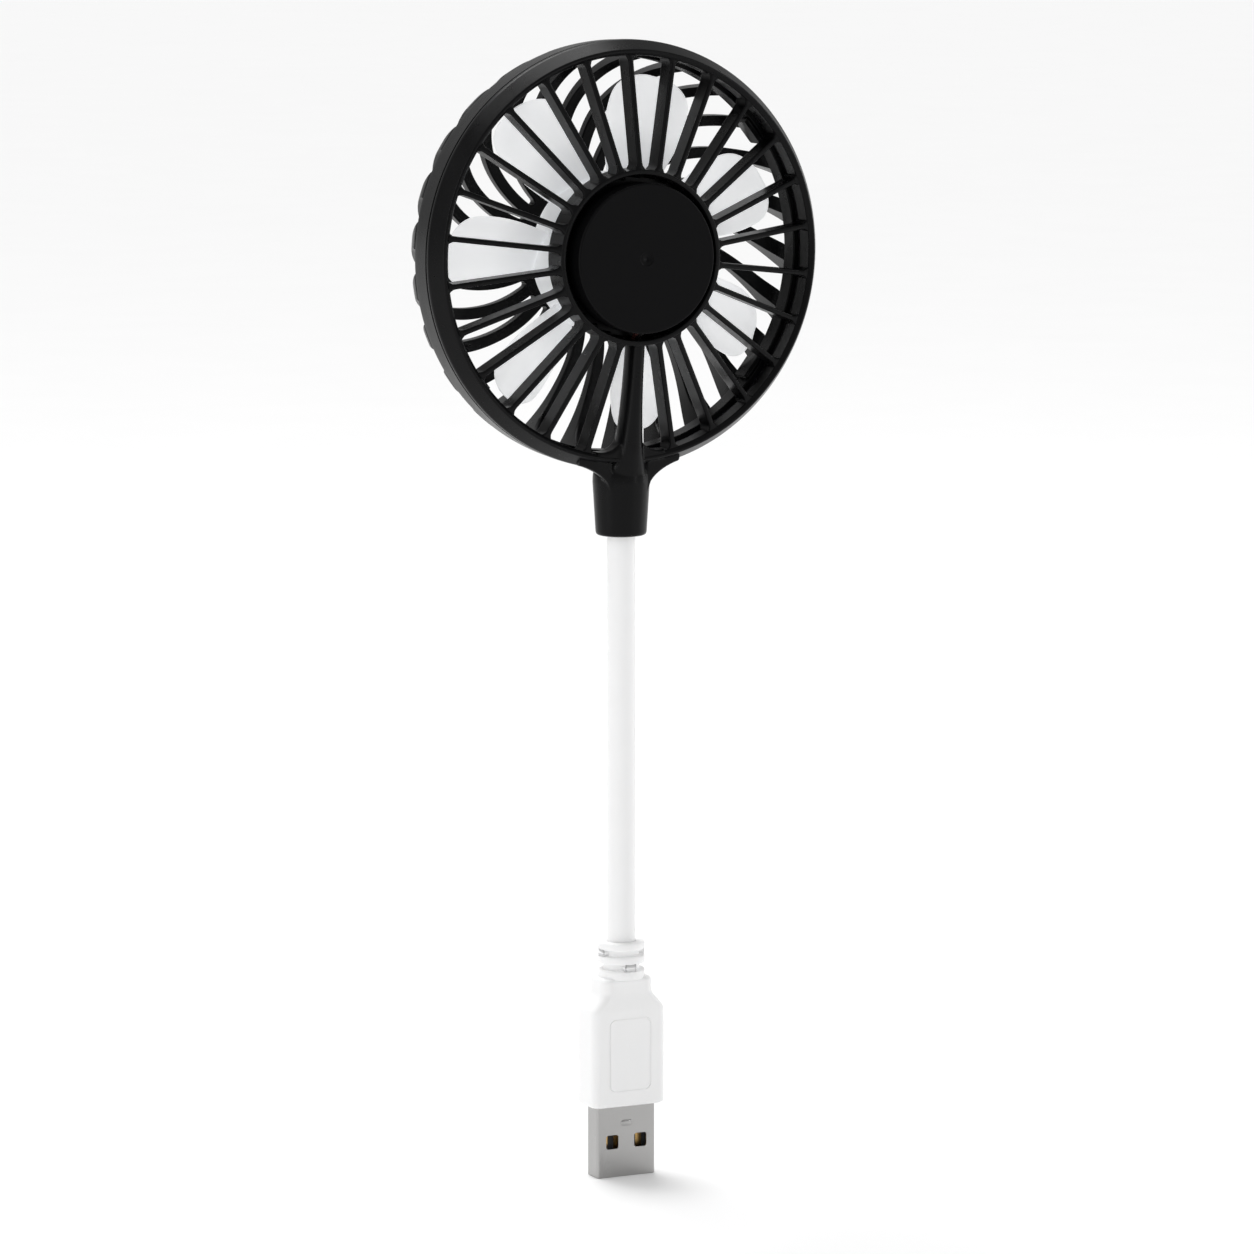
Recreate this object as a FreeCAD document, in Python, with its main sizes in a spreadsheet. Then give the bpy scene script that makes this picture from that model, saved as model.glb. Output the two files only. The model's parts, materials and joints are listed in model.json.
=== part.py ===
import FreeCAD, Part
import Sketcher
import math
import os
from FreeCAD import Placement, Rotation, Vector

# A small fan that stands in a USB port: a plug, a bendable arm that stays where it is put, and a round caged
# head. Millimetres, +Z up the arm. The origin is the centre of the plug grip's lower face, which rests on the
# port. The hub cap faces -Y and the swirled guard faces +Y.

SIZES = [
    # plug
    ("shell_width", 12.0, "plug shell, across the contacts"),
    ("shell_depth", 4.5, "plug shell, front to back"),
    ("shell_wall", 0.3, "sheet thickness of the shell"),
    ("shell_reach", 13.6, "shell below the grip"),
    ("shell_buried", 5.0, "shell inside the grip"),
    ("shell_round", 0.45, "outer corner radius of the shell"),
    ("window_width", 2.5, "latch window in the shell"),
    ("window_height", 2.6, "latch window in the shell"),
    ("window_pitch", 5.8, "between the two windows of a face"),
    ("window_rise", 6.7, "window centre above the shell's tip"),
    ("dimple_width", 2.6, "pressed dimple above the windows"),
    ("dimple_height", 1.4, "pressed dimple above the windows"),
    ("dimple_rise", 10.2, "dimple centre above the shell's tip"),
    ("dimple_lift", 0.25, "dimple stands out of the shell"),
    ("carrier_thick", 1.84, "contact carrier's tongue"),
    ("carrier_tip", 0.5, "carrier ends short of the shell's tip"),
    ("contact_width", 1.2, "spring contact"),
    ("contact_thick", 0.2, "spring contact"),
    ("contact_tip", 1.6, "contact starts above the shell's tip"),
    ("contact_tail", 3.0, "contact behind the carrier"),
    ("power_pitch", 7.0, "between the two outer contacts"),
    ("data_pitch", 2.0, "between the two inner contacts"),
    ("mould_wall", 0.45, "inner mould outside the shell"),
    ("mould_top", 16.5, "top of the inner mould"),
    ("grip_side", 1.5, "grip outside the shell, each side"),
    ("grip_face", 1.65, "grip outside the shell, front and back"),
    ("grip_round", 2.0, "upright edges of the grip"),
    ("grip_shoulder", 18.6, "where the grip starts to narrow"),
    ("grip_waist", 22.0, "where it stops narrowing"),
    ("grip_top", 24.2, "top of the grip's narrow block"),
    ("block_width", 10.4, "narrow block"),
    ("block_depth", 7.0, "narrow block"),
    ("relief_wall", 1.775, "strain relief rings, outside the arm"),
    ("relief_skin", 0.725, "bottom of the relief's slots, outside the arm"),
    ("relief_ring", 1.5, "height of one ring"),
    ("relief_slot", 1.1, "height of one slot"),
    ("relief_bridge", 2.3, "web left between two rings"),
    # arm
    ("arm_radius", 2.625, "arm jacket, outside"),
    ("jacket_wall", 0.675, "arm jacket"),
    ("arm_reach", 76.1, "arm between strain relief and neck"),
    ("arm_seat", 7.0, "jacket held inside the relief"),
    ("core_radius", 0.9, "bend-and-stay core wire"),
    ("conductor_radius", 0.425, "insulated conductor"),
    ("conductor_gap", 0.105, "between a conductor and the jacket"),
    ("flex_gap", 0.95, "between two stiff lengths of the arm"),
    ("slip", 0.05, "gap round a piece that is pressed or moulded in"),
    # neck and spoke
    ("neck_foot_wall", 2.075, "neck at its foot, outside the arm"),
    ("neck_wall", 2.675, "neck under the rim, outside the arm"),
    ("neck_length", 10.0, "neck below the rim"),
    ("neck_seat", 9.2, "arm held inside the neck"),
    ("neck_round", 0.6, "rounded foot of the neck"),
    ("spoke_root_half", 2.7, "half width of the spoke at the rim"),
    ("spoke_tip_half", 1.6, "half width of the spoke at the collar"),
    ("spoke_root_deep", 3.2, "half depth of the spoke at the rim"),
    ("spoke_tip_deep", 2.7, "half depth of the spoke at the collar"),
    ("channel_radius", 1.15, "wire channel in the spoke"),
    ("gusset_reach", 5.4, "concave gusset between neck and rim"),
    ("web_round", 4.6, "concave web between spoke and rim"),
    # head
    ("neck_bite", 2.3, "rim's lowest point above the neck"),
    ("rim_radius", 39.4, "both guards, outside"),
    ("rim_width", 2.8, "motor guard's rim"),
    ("rim_front", 5.0, "front of the rim ahead of the arm's axis"),
    ("rim_lip", 4.2, "inner front edge of the rim, ahead of the arm's axis"),
    ("crest_wall", 1.9, "rim's foremost edge, inside its outer radius"),
    ("rim_round", 0.7, "rounded foremost edge"),
    ("brow", 1.6, "where the rim's front meets its outside, ahead of the arm's axis"),
    ("brow_round", 2.2, "rounding between the rim's front and its outside"),
    ("parting", 0.8, "parting groove ahead of the arm's axis"),
    ("groove", 0.4, "width of the parting groove"),
    ("spigot_back", 0.6, "spigot behind the arm's axis"),
    ("spigot_wall", 1.2, "spigot that the swirl guard slips over"),
    ("fit", 0.2, "between spigot and skirt"),
    ("rib_count", 26, "places round the hub, one of them the spoke's"),
    ("rib_thick", 0.95, "straight rib"),
    ("rib_deep", 4.4, "straight rib, front to back"),
    ("collar_gap", 2.4, "hub collar, outside the cap"),
    ("collar_wall", 1.0, "hub collar"),
    ("collar_front", 8.6, "collar ahead of the arm's axis"),
    ("collar_back", 2.7, "collar's rear edge ahead of the arm's axis"),
    ("floor_thick", 1.2, "floor between collar and motor cup"),
    ("cup_wall", 1.0, "cup that holds the motor"),
    ("lug_count", 30, "small lugs inside the collar"),
    ("snap_width", 2.6, "snap tongue between the guards"),
    # hub cap
    ("cap_wall", 1.35, "hub cap's skirt"),
    ("cap_fit", 0.1, "between the cap's skirt and the motor's cup"),
    ("cap_front", 10.9, "cap ahead of the arm's axis"),
    ("cap_thick", 1.4, "cap's face"),
    ("cap_skirt", 3.2, "depth of the cap's skirt"),
    ("cap_chamfer", 0.35, "edge of the cap"),
    ("gate_radius", 1.2, "moulding gate's recess"),
    # swirl guard
    ("swirl_back", 19.0, "rear face behind the arm's axis"),
    ("swirl_thick", 2.2, "wall of the dome"),
    ("swirl_round", 16.0, "rounded shoulder of the dome"),
    ("dome_inset", 0.2, "dome inside the rim's outer radius"),
    ("swirl_hub", 13.0, "solid disc in the middle"),
    ("swirl_rib", 2.1, "width of a swirled rib"),
    ("swirl_bend", 22.0, "radius that a rib is bent to"),
    ("slot_past", 0.3, "slots' round outer ends, past the rim's outer radius"),
    ("slot_root", 0.5, "slots' inner ends, outside the disc"),
    ("lip_width", 3.3, "inner lip"),
    ("lip_deep", 3.8, "inner lip, front to back"),
    ("swirl_count", 26, "slots"),
    # impeller
    ("blade_count", 7, "blades"),
    ("blade_room", 2.7, "between the blade's tip and the lip"),
    ("blade_thick", 1.3, "blade at its root"),
    ("blade_middle", 3.8, "blade's middle behind the arm's axis"),
    ("hub_room", 1.55, "impeller hub clear of the motor's cup"),
    ("hub_wall", 1.2, "impeller hub"),
    ("hub_front", 2.0, "hub's front edge ahead of the arm's axis"),
    ("hub_back", 7.4, "hub's closed end behind the arm's axis"),
    ("boss_radius", 2.6, "boss on the shaft"),
    # motor
    ("motor_radius", 11.2, "motor can"),
    ("motor_front", 7.6, "motor ahead of the arm's axis"),
    ("motor_back", 3.8, "motor behind the arm's axis"),
    ("can_wall", 0.8, "motor can"),
    ("bush_radius", 2.5, "bushing"),
    ("bush_length", 1.5, "bushing"),
    ("boss_wall", 0.8, "round the bushing"),
    ("shaft_radius", 1.0, "motor shaft"),
    ("running_fit", 0.04, "shaft in a bushing, radial"),
    ("end_cap_thick", 1.5, "motor end cap"),
    ("magnet_thick", 1.3, "arc magnet"),
    ("magnet_length", 7.0, "arc magnet"),
    ("magnet_span", 140.0, "arc magnet, degrees"),
    ("air_gap", 0.35, "between magnet and armature"),
    ("stack_length", 4.4, "armature"),
    ("pole_width", 2.6, "neck of an armature pole"),
    ("shoe_thick", 1.2, "outer shoe of a pole"),
    ("core_hub", 3.2, "armature round the shaft"),
    ("commutator_radius", 2.3, "commutator"),
    ("commutator_length", 1.6, "commutator"),
    ("brush_gap", 0.1, "brush off the commutator"),
    ("terminal_width", 1.8, "solder tag"),
    ("terminal_reach", 1.2, "solder tag ahead of the motor"),
    ("terminal_pitch", 7.0, "between the tags"),
]

ARM_JOINTS = 10
MOTOR_POLES = 3
SNAP_ANGLES = (38.0, 142.0, 218.0, 322.0)
SWIRL_START = 7.1
BLADE_START = 23.0
# Radius as a share of the blade's span, chord and pitch in degrees.
BLADE_STATIONS = [(0.0, 9.5, 40.0), (0.25, 12.4, 34.0), (0.5, 14.4, 29.0), (0.72, 14.4, 25.0),
                  (0.88, 12.0, 22.0), (0.97, 7.6, 20.5), (1.0, 4.0, 20.0)]

doc = FreeCAD.newDocument("usb_arm_fan")
sheet = doc.addObject("Spreadsheet::Sheet", "sizes")
for row, (alias, number, note) in enumerate(SIZES, start=1):
    sheet.set("A%d" % row, note)
    sheet.set("B%d" % row, str(number))
    sheet.setAlias("B%d" % row, alias)
doc.recompute()


class Dim:
    """A size: its number now, and the formula that ties it to the sheet."""

    def __init__(self, number, formula):
        self.number = number
        self.formula = formula

    def __float__(self):
        return float(self.number)

    def joined(self, other, sign, number):
        return Dim(number, "(%s %s %s)" % (self.formula, sign, dim(other).formula))

    def __add__(self, other):
        return self.joined(other, "+", self.number + float(other))

    def __sub__(self, other):
        return self.joined(other, "-", self.number - float(other))

    def __mul__(self, other):
        return self.joined(other, "*", self.number * float(other))

    def __truediv__(self, other):
        return self.joined(other, "/", self.number / float(other))

    def __rsub__(self, other):
        return dim(other) - self

    def __neg__(self):
        return dim(0) - self

    __radd__ = __add__
    __rmul__ = __mul__


def dim(thing):
    return thing if isinstance(thing, Dim) else Dim(float(thing), repr(float(thing)))


class Sizes:
    def __getattr__(self, alias):
        return Dim(float(sheet.get(alias)), "sizes." + alias)


d = Sizes()
# Sizes that follow from others by a wall, a gap or a fit.
d.grip_width = d.shell_width + d.grip_side * 2
d.grip_depth = d.shell_depth + d.grip_face * 2
d.arm_bore = d.arm_radius - d.jacket_wall
d.conductor_place = d.arm_bore - d.conductor_gap - d.conductor_radius
d.relief_radius = d.arm_radius + d.relief_wall
d.relief_root = d.arm_radius + d.relief_skin
d.neck_foot_radius = d.arm_radius + d.neck_foot_wall
d.neck_radius = d.arm_radius + d.neck_wall
d.relief_top = d.grip_top + d.relief_ring * 3 + d.relief_slot * 2
d.neck_foot = d.relief_top + d.arm_reach
d.neck_top = d.neck_foot + d.neck_length
d.head_rise = d.neck_top + d.neck_bite + d.rim_radius
d.rim_hole = d.rim_radius - d.rim_width
d.crest_radius = d.rim_radius - d.crest_wall
d.lip_hole = d.rim_radius - d.lip_width
d.dome_radius = d.rim_radius - d.dome_inset
d.swirl_reach = d.rim_radius + d.slot_past
d.blade_tip = d.lip_hole - d.blade_room
d.cup_out = d.motor_radius + d.slip + d.cup_wall
d.cap_radius = d.cup_out + d.cap_fit + d.cap_wall
d.collar_radius = d.cap_radius + d.collar_gap
d.hub_radius = d.cup_out + d.hub_room + d.hub_wall
NODES = []


def node(thing, label):
    """Name a finished sub-part: its label is its file's name."""
    thing.Label = label
    NODES.append(thing)
    return thing


def bind(thing, **dims):
    for name, value in dims.items():
        thing.setExpression(name, dim(value).formula)


def place(thing, x=0, y=0, z=0, turn=None):
    if turn:
        thing.Placement = Placement(Vector(), turn)
    for axis, where in zip("xyz", (x, y, z)):
        thing.setExpression("Placement.Base." + axis, dim(where).formula)
    return thing


UPRIGHT = Rotation()
TO_BACK = Rotation(Vector(1, 0, 0), -90)


def cylinder(name, radius, height, x=0, y=0, z=0, turn=UPRIGHT):
    thing = doc.addObject("Part::Cylinder", name)
    bind(thing, Radius=radius, Height=height)
    return place(thing, x, y, z, turn)


def box(name, wide, deep, tall, x=0, y=0, z=0):
    """A box centred on x and y that stands on z."""
    thing = doc.addObject("Part::Box", name)
    wide, deep, tall = dim(wide), dim(deep), dim(tall)
    bind(thing, Length=wide, Width=deep, Height=tall)
    return place(thing, dim(x) - wide / 2, dim(y) - deep / 2, z)


def cut(name, base, tools):
    for count, tool in enumerate(tools):
        less = doc.addObject("Part::Cut", "%s_cut_%d" % (name, count))
        less.Base = base
        less.Tool = tool
        less.Refine = False
        base = less
    return base


def fuse(name, pieces):
    whole = doc.addObject("Part::MultiFuse", name + "_joined")
    whole.Shapes = pieces
    return whole


def weld(name, pieces):
    """Fuse pieces one after the other."""
    whole = pieces[0]
    for count, piece in enumerate(pieces[1:]):
        joined = doc.addObject("Part::Fuse", "%s_weld_%d" % (name, count))
        joined.Base = whole
        joined.Tool = piece
        joined.Refine = False
        whole = joined
    return whole


def group(name, pieces):
    """Separate solids that share one node."""
    whole = doc.addObject("Part::Compound", name + "_set")
    whole.Links = pieces
    return whole


def solid(name, shape):
    """A freely shaped solid, worked out from the sheet's sizes."""
    thing = doc.addObject("Part::Feature", name)
    thing.Shape = shape
    return thing


def new_body(name, x=0, y=0, z=0):
    body = doc.addObject("PartDesign::Body", name)
    place(body, x, y, z)
    return body


def outline(body, role, corners):
    """A closed outline whose corners are each tied to the sheet."""
    plane = [item for item in body.Origin.OriginFeatures if item.Role == role][0]
    sketch = body.newObject("Sketcher::SketchObject", body.Name + "_outline")
    sketch.AttachmentSupport = [(plane, "")]
    sketch.MapMode = "FlatFace"
    corners = [(dim(u), dim(v)) for u, v in corners]
    points = [Vector(float(u), float(v), 0) for u, v in corners]
    count = len(points)
    for k in range(count):
        sketch.addGeometry(Part.LineSegment(points[k], points[(k + 1) % count]), False)
    for k in range(count):
        sketch.addConstraint(Sketcher.Constraint("Coincident", k, 2, (k + 1) % count, 1))
    for k, corner in enumerate(corners):
        for kind, size in zip(("DistanceX", "DistanceY"), corner):
            index = sketch.addConstraint(Sketcher.Constraint(kind, -1, 1, k, 1, float(size)))
            sketch.setExpression("Constraints[%d]" % index, size.formula)
    return sketch


def revolve(body, corners, role="YZ_Plane", axis="H_Axis"):
    """Turn an outline about the fan's axis: corners are (behind the arm's axis, radius)."""
    sketch = outline(body, role, corners)
    turned = body.newObject("PartDesign::Revolution", body.Name + "_turned")
    turned.Profile = sketch
    turned.ReferenceAxis = (sketch, [axis])
    turned.Angle = 360
    return turned


def turned_on_fan(name, corners):
    body = new_body(name, z=d.head_rise)
    revolve(body, corners)
    return body


def round_edges(body, radius, chosen):
    """Round the edges of the body's tip that chosen picks."""
    doc.recompute()
    tip = body.Tip
    names = ["Edge%d" % (k + 1) for k, edge in enumerate(tip.Shape.Edges) if chosen(edge)]
    dress = body.newObject("PartDesign::Fillet", body.Name + "_rounded")
    dress.Base = (tip, names)
    bind(dress, Radius=radius)


def ring_at(behind, radius):
    """Picks the round edge of that radius, that far behind the arm's axis."""
    def chosen(edge):
        curve = edge.Curve
        if not hasattr(curve, "Radius") or not hasattr(curve, "Center"):
            return False
        return abs(curve.Radius - float(radius)) < 1e-3 and abs(curve.Center.y - float(behind)) < 1e-3
    return chosen


# ---- plug ---------------------------------------------------------------------------------------------------

def upright_pad(name, wide, deep, tall, z=0):
    """A box whose four upright edges can be rounded."""
    body = new_body(name, z=z)
    half_w, half_d = dim(wide) / 2, dim(deep) / 2
    sketch = outline(body, "XY_Plane", [(-half_w, -half_d), (half_w, -half_d), (half_w, half_d), (-half_w, half_d)])
    pad = body.newObject("PartDesign::Pad", name + "_pad")
    pad.Profile = sketch
    bind(pad, Length=tall)
    return body


def upright(edge):
    ends = [vertex.Point for vertex in edge.Vertexes]
    return len(ends) == 2 and abs(ends[0].x - ends[1].x) < 1e-6 and abs(ends[0].y - ends[1].y) < 1e-6


def plug_shell():
    tip = -d.shell_reach
    height = d.shell_reach + d.shell_buried
    outer = upright_pad("shell_outer", d.shell_width, d.shell_depth, height, z=tip)
    round_edges(outer, d.shell_round, upright)
    inner = box("shell_inner", d.shell_width - d.shell_wall * 2, d.shell_depth - d.shell_wall * 2,
                height + 2, z=tip - 1)
    windows = []
    for side in (-1, 1):
        windows.append(box("window", d.window_width, d.shell_depth + 2, d.window_height,
                           x=d.window_pitch / 2 * side, z=tip + d.window_rise - d.window_height / 2))
    shell = cut("shell", outer, [inner] + windows)
    dimples = []
    for side in (-1, 1):
        plate = box("dimple", d.dimple_width, d.dimple_lift + d.shell_wall / 2, d.dimple_height,
                    y=(d.shell_depth / 2 + d.dimple_lift / 2 - d.shell_wall / 4) * side,
                    z=tip + d.dimple_rise - d.dimple_height / 2)
        dimples.append(plate)
    return node(fuse("shell_whole", [shell] + dimples), "plug_shell")


def inside_depth():
    return d.shell_depth - d.shell_wall * 2


def contact_carrier():
    """Tongue along the shell's rear wall, with a block that fills the buried part of the shell."""
    wide = d.shell_width - d.shell_wall * 2
    low = d.carrier_tip - d.shell_reach
    tongue = box("tongue", wide, d.carrier_thick, -low + 1, y=inside_depth() / 2 - d.carrier_thick / 2, z=low)
    block = box("carrier_block", wide, inside_depth(), d.shell_buried - 0.5, z=0.5)
    slots = [box("contact_slot", d.contact_width, d.contact_thick, d.shell_buried + 2,
                 x=x, y=contact_y(), z=0) for x in contact_places()]
    return node(cut("carrier", fuse("carrier", [tongue, block]), slots), "contact_carrier")


def contact_y():
    return inside_depth() / 2 - d.carrier_thick - d.contact_thick / 2


def contact_places():
    return (-d.power_pitch / 2, -d.data_pitch / 2, d.data_pitch / 2, d.power_pitch / 2)


def plug_contacts():
    low = d.contact_tip - d.shell_reach
    strips = [box("contact", d.contact_width, d.contact_thick, -low + d.shell_buried + d.contact_tail,
                  x=x, y=contact_y(), z=low) for x in contact_places()]
    return node(group("contacts", strips), "plug_contacts")


def mould_size():
    return d.shell_width + d.mould_wall * 2, d.shell_depth + d.mould_wall * 2


def inner_mould():
    """Block moulded over the solder joints, inside the grip."""
    wide, deep = mould_size()
    low = 1.0
    block = box("mould_block", wide, deep, d.mould_top - low, z=low)
    shell_room = box("mould_shell_room", d.shell_width, d.shell_depth, d.shell_buried - low + 0.001, z=low)
    tails = box("mould_tail_room", d.power_pitch + d.contact_width + 0.4, 2.4, d.contact_tail + 3.5,
                y=contact_y(), z=d.shell_buried - 0.001)
    way = cylinder("mould_wire_way", d.arm_bore, d.mould_top, z=d.shell_buried + d.contact_tail + 1)
    return node(cut("mould", block, [shell_room, tails, way]), "inner_mould")


def grip_section(wide, deep, z, corner):
    """A rounded rectangle at height z."""
    half_w, half_d = wide / 2 - corner, deep / 2 - corner
    edges = []
    centres = [(half_w, half_d), (-half_w, half_d), (-half_w, -half_d), (half_w, -half_d)]
    for quarter, (x, y) in enumerate(centres):
        circle = Part.Circle(Vector(x, y, z), Vector(0, 0, 1), corner)
        start = quarter * math.pi / 2
        edges.append(Part.Arc(circle, start, start + math.pi / 2).toShape())
    for quarter in range(4):
        here = edges[quarter].valueAt(edges[quarter].LastParameter)
        there = edges[(quarter + 1) % 4].valueAt(edges[(quarter + 1) % 4].FirstParameter)
        edges.append(Part.makeLine(here, there))
    return Part.Wire(Part.__sortEdges__(edges))


def grip_body():
    """The grip: a straight block that necks down in a hollow curve to a narrow block."""
    low, high = float(d.grip_shoulder), float(d.grip_waist)
    steps = 5
    sections = [grip_section(float(d.grip_width), float(d.grip_depth), z, float(d.grip_round)) for z in (0, low)]
    main = Part.makeLoft(sections, True, True)
    flare = []
    for k in range(steps + 1):
        share = k / steps
        ease = share * share * (3 - 2 * share)
        wide = float(d.grip_width) + (float(d.block_width) - float(d.grip_width)) * ease
        deep = float(d.grip_depth) + (float(d.block_depth) - float(d.grip_depth)) * ease
        flare.append(grip_section(wide, deep, low + (high - low) * share, float(d.grip_round)))
    shoulder = Part.makeLoft(flare, True, False)
    top = Part.makeLoft([grip_section(float(d.block_width), float(d.block_depth), z, float(d.grip_round))
                         for z in (high, float(d.grip_top))], True, True)
    return main.fuse([shoulder, top]).removeSplitter()


def relief_pieces():
    """Slotted sleeve above the grip: rings joined by webs that cross over."""
    root_height = d.relief_ring * 3 + d.relief_slot * 2
    pieces = [cylinder("relief_root", d.relief_root, root_height, z=d.grip_top)]
    for k in range(3):
        rise = d.grip_top + (d.relief_ring + d.relief_slot) * k
        pieces.append(cylinder("relief_ring", d.relief_radius, d.relief_ring, z=rise))
    webs = [(d.relief_bridge, d.relief_radius * 1.9), (d.relief_radius * 1.9, d.relief_bridge)]
    for k, (wide, deep) in enumerate(webs):
        rise = d.grip_top + d.relief_ring + (d.relief_ring + d.relief_slot) * k
        pieces.append(box("relief_web", wide, deep, d.relief_slot, z=rise))
    return pieces


def plug_grip():
    wide, deep = mould_size()
    whole = fuse("grip", [solid("grip_block", grip_body())] + relief_pieces())
    shell_room = box("grip_shell_room", d.shell_width, d.shell_depth, 2.001, z=-1)
    mould_room = box("grip_mould_room", wide, deep, d.mould_top - 1.0, z=1.0)
    arm_room = cylinder("grip_arm_room", d.arm_radius + d.slip, d.arm_seat + 20, z=d.relief_top - d.arm_seat)
    wire_room = cylinder("grip_wire_room", d.arm_bore, d.relief_top - d.mould_top, z=d.mould_top - 0.5)
    return node(cut("grip", whole, [shell_room, mould_room, arm_room, wire_room]), "plug_grip")


# ---- arm ----------------------------------------------------------------------------------------------------

def joint_pitch():
    return d.arm_reach / ARM_JOINTS


def joint_height(number):
    """Height of a bend in the arm, counted from 1 at the plug."""
    return d.relief_top + joint_pitch() * (number - 0.5)


def arm_length(label, low, high):
    """One stiff length of the arm: its jacket, its core wire and its two conductors."""
    tall = high - low
    jacket = cut("jacket_" + label, cylinder("jacket_out_" + label, d.arm_radius, tall, z=low),
                 [cylinder("jacket_in_" + label, d.arm_bore, tall + 2, z=low - 1)])
    node(jacket, "jacket_" + label)
    node(cylinder("wire_" + label, d.core_radius, tall, z=low), "core_wire_" + label)
    pair = [cylinder("conductor_" + label, d.conductor_radius, tall, x=d.conductor_place * side, z=low)
            for side in (-1, 1)]
    node(group("pair_" + label, pair), "conductors_" + label)


def arm():
    half = d.flex_gap / 2
    arm_length("base", d.relief_top - d.arm_seat, joint_height(1) - half)
    for number in range(1, ARM_JOINTS):
        arm_length("%d" % number, joint_height(number) + half, joint_height(number + 1) - half)
    arm_length("end", joint_height(ARM_JOINTS) + half, d.neck_foot + d.neck_seat)


# ---- motor guard --------------------------------------------------------------------------------------------

def hub_corners():
    """Collar, floor and motor cup, turned in one outline."""
    collar_in = d.collar_radius - d.collar_wall
    cup_in = d.motor_radius + d.slip
    cup_out = d.cup_out
    floor_back = -(d.collar_back + 0.6)
    floor_front = floor_back - d.floor_thick
    lip_back = d.motor_back + 0.2 + d.cup_wall
    return [(-d.collar_front, d.collar_radius), (-d.collar_front, collar_in), (floor_front, collar_in),
            (floor_front, cup_out), (cup_front(), cup_out), (cup_front(), cup_in),
            (d.motor_back + 0.2, cup_in), (d.motor_back + 0.2, d.boss_radius + 2), (lip_back, d.boss_radius + 2),
            (lip_back, cup_out), (floor_back, cup_out), (floor_back, collar_in), (-d.collar_back, collar_in),
            (-d.collar_back, d.collar_radius)]


def cup_front():
    return -(d.motor_front + 0.6)


def rim_corners():
    inner_back = d.rim_hole + 0.3
    outer_back = d.rim_radius - d.spigot_wall - 0.1
    return [(-d.rim_lip, d.rim_hole), (-d.rim_front, d.crest_radius), (-d.brow, d.rim_radius),
            (-d.parting, d.rim_radius), (-d.parting, outer_back), (d.spigot_back, outer_back),
            (d.spigot_back, inner_back)]


def guard_ring():
    """Hub, straight ribs and rim. The ribs join the hub to the rim all the way round."""
    body = new_body("motor_guard_ring", z=d.head_rise)
    revolve(body, hub_corners())
    inner, outer = d.collar_radius - 0.3, d.rim_hole + 0.5
    hub_front, rim_front = -(d.collar_front - 0.1), -(d.rim_lip - 0.05)
    rib = outline(body, "YZ_Plane", [(hub_front, inner), (rim_front, outer), (rim_front + d.rib_deep, outer),
                                     (hub_front + d.rib_deep, inner)])
    pad = body.newObject("PartDesign::Pad", "rib")
    pad.Profile = rib
    pad.Midplane = True
    bind(pad, Length=d.rib_thick)
    doc.recompute()
    ring = body.newObject("PartDesign::PolarPattern", "ribs")
    ring.Originals = [pad]
    ring.Axis = (rib, ["H_Axis"])
    ring.Angle = 360
    bind(ring, Occurrences=d.rib_count)
    body.Tip = ring
    doc.recompute()
    rim = outline(body, "YZ_Plane", rim_corners())
    turned = body.newObject("PartDesign::Revolution", "rim")
    turned.Profile = rim
    turned.ReferenceAxis = (rim, ["H_Axis"])
    turned.Angle = 360
    body.Tip = turned
    round_edges(body, d.rim_round, ring_at(-d.rim_front, d.crest_radius))
    round_edges(body, d.brow_round, ring_at(-d.brow, d.rim_radius))
    return body


def rim_height(x, radius):
    """Height of the lower rim at x, on a circle round the fan's axis."""
    return float(d.head_rise) - math.sqrt(radius * radius - x * x)


def plate(points_low, arc_middle, points_high, front, back):
    """A flat web: a hollow arc from the first point to the last, closed by straight sides."""
    start, end = points_low[0], points_high[-1]
    edges = [Part.Arc(Vector(start[0], front, start[1]), Vector(arc_middle[0], front, arc_middle[1]),
                      Vector(end[0], front, end[1])).toShape()]
    rest = [end] + points_high[:-1][::-1] + points_low[1:][::-1] + [start]
    for here, there in zip(rest, rest[1:]):
        edges.append(Part.makeLine(Vector(here[0], front, here[1]), Vector(there[0], front, there[1])))
    face = Part.Face(Part.Wire(edges))
    return face.extrude(Vector(0, back - front, 0))


def gusset(side):
    """Hollow web outside the rim, from the neck's flank to the rim."""
    reach = float(d.gusset_reach)
    neck = float(d.neck_radius) - 0.25
    foot = rim_height(neck + reach, float(d.rim_radius)) - reach * 1.35
    far_x = neck + reach
    far_z = rim_height(far_x, float(d.rim_radius)) + 0.15
    middle = (neck + reach * 0.26, foot + (far_z - foot) * 0.70)
    inner_z = rim_height(1.0, float(d.rim_radius)) + 1.0
    front, back = -float(d.rim_front) + 1.4, -float(d.parting)
    return plate([(neck * side, foot), (side, foot)], (middle[0] * side, middle[1]),
                 [(side, inner_z), ((far_x - 1.5) * side, far_z + 0.9), (far_x * side, far_z)], front, back)


def web(side):
    """Hollow web inside the rim, from the spoke's flank to the rim."""
    reach = float(d.web_round)
    spoke = float(d.spoke_root_half) - 0.6
    far_x = spoke + reach
    low_z = rim_height(far_x, float(d.rim_hole)) - 0.2
    high_z = low_z + reach * 1.25
    middle = (spoke + reach * 0.27, low_z + reach * 0.36)
    base_z = rim_height(0.5, float(d.rim_hole)) - 1.2
    front, back = -float(d.rim_lip) - 0.6, -float(d.rim_lip) + 3.6
    return plate([(far_x * side, low_z), (far_x * side, low_z - 0.8), (0.5 * side, base_z)],
                 (middle[0] * side, middle[1]), [(0.5 * side, high_z), (spoke * side, high_z)], front, back)


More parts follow.
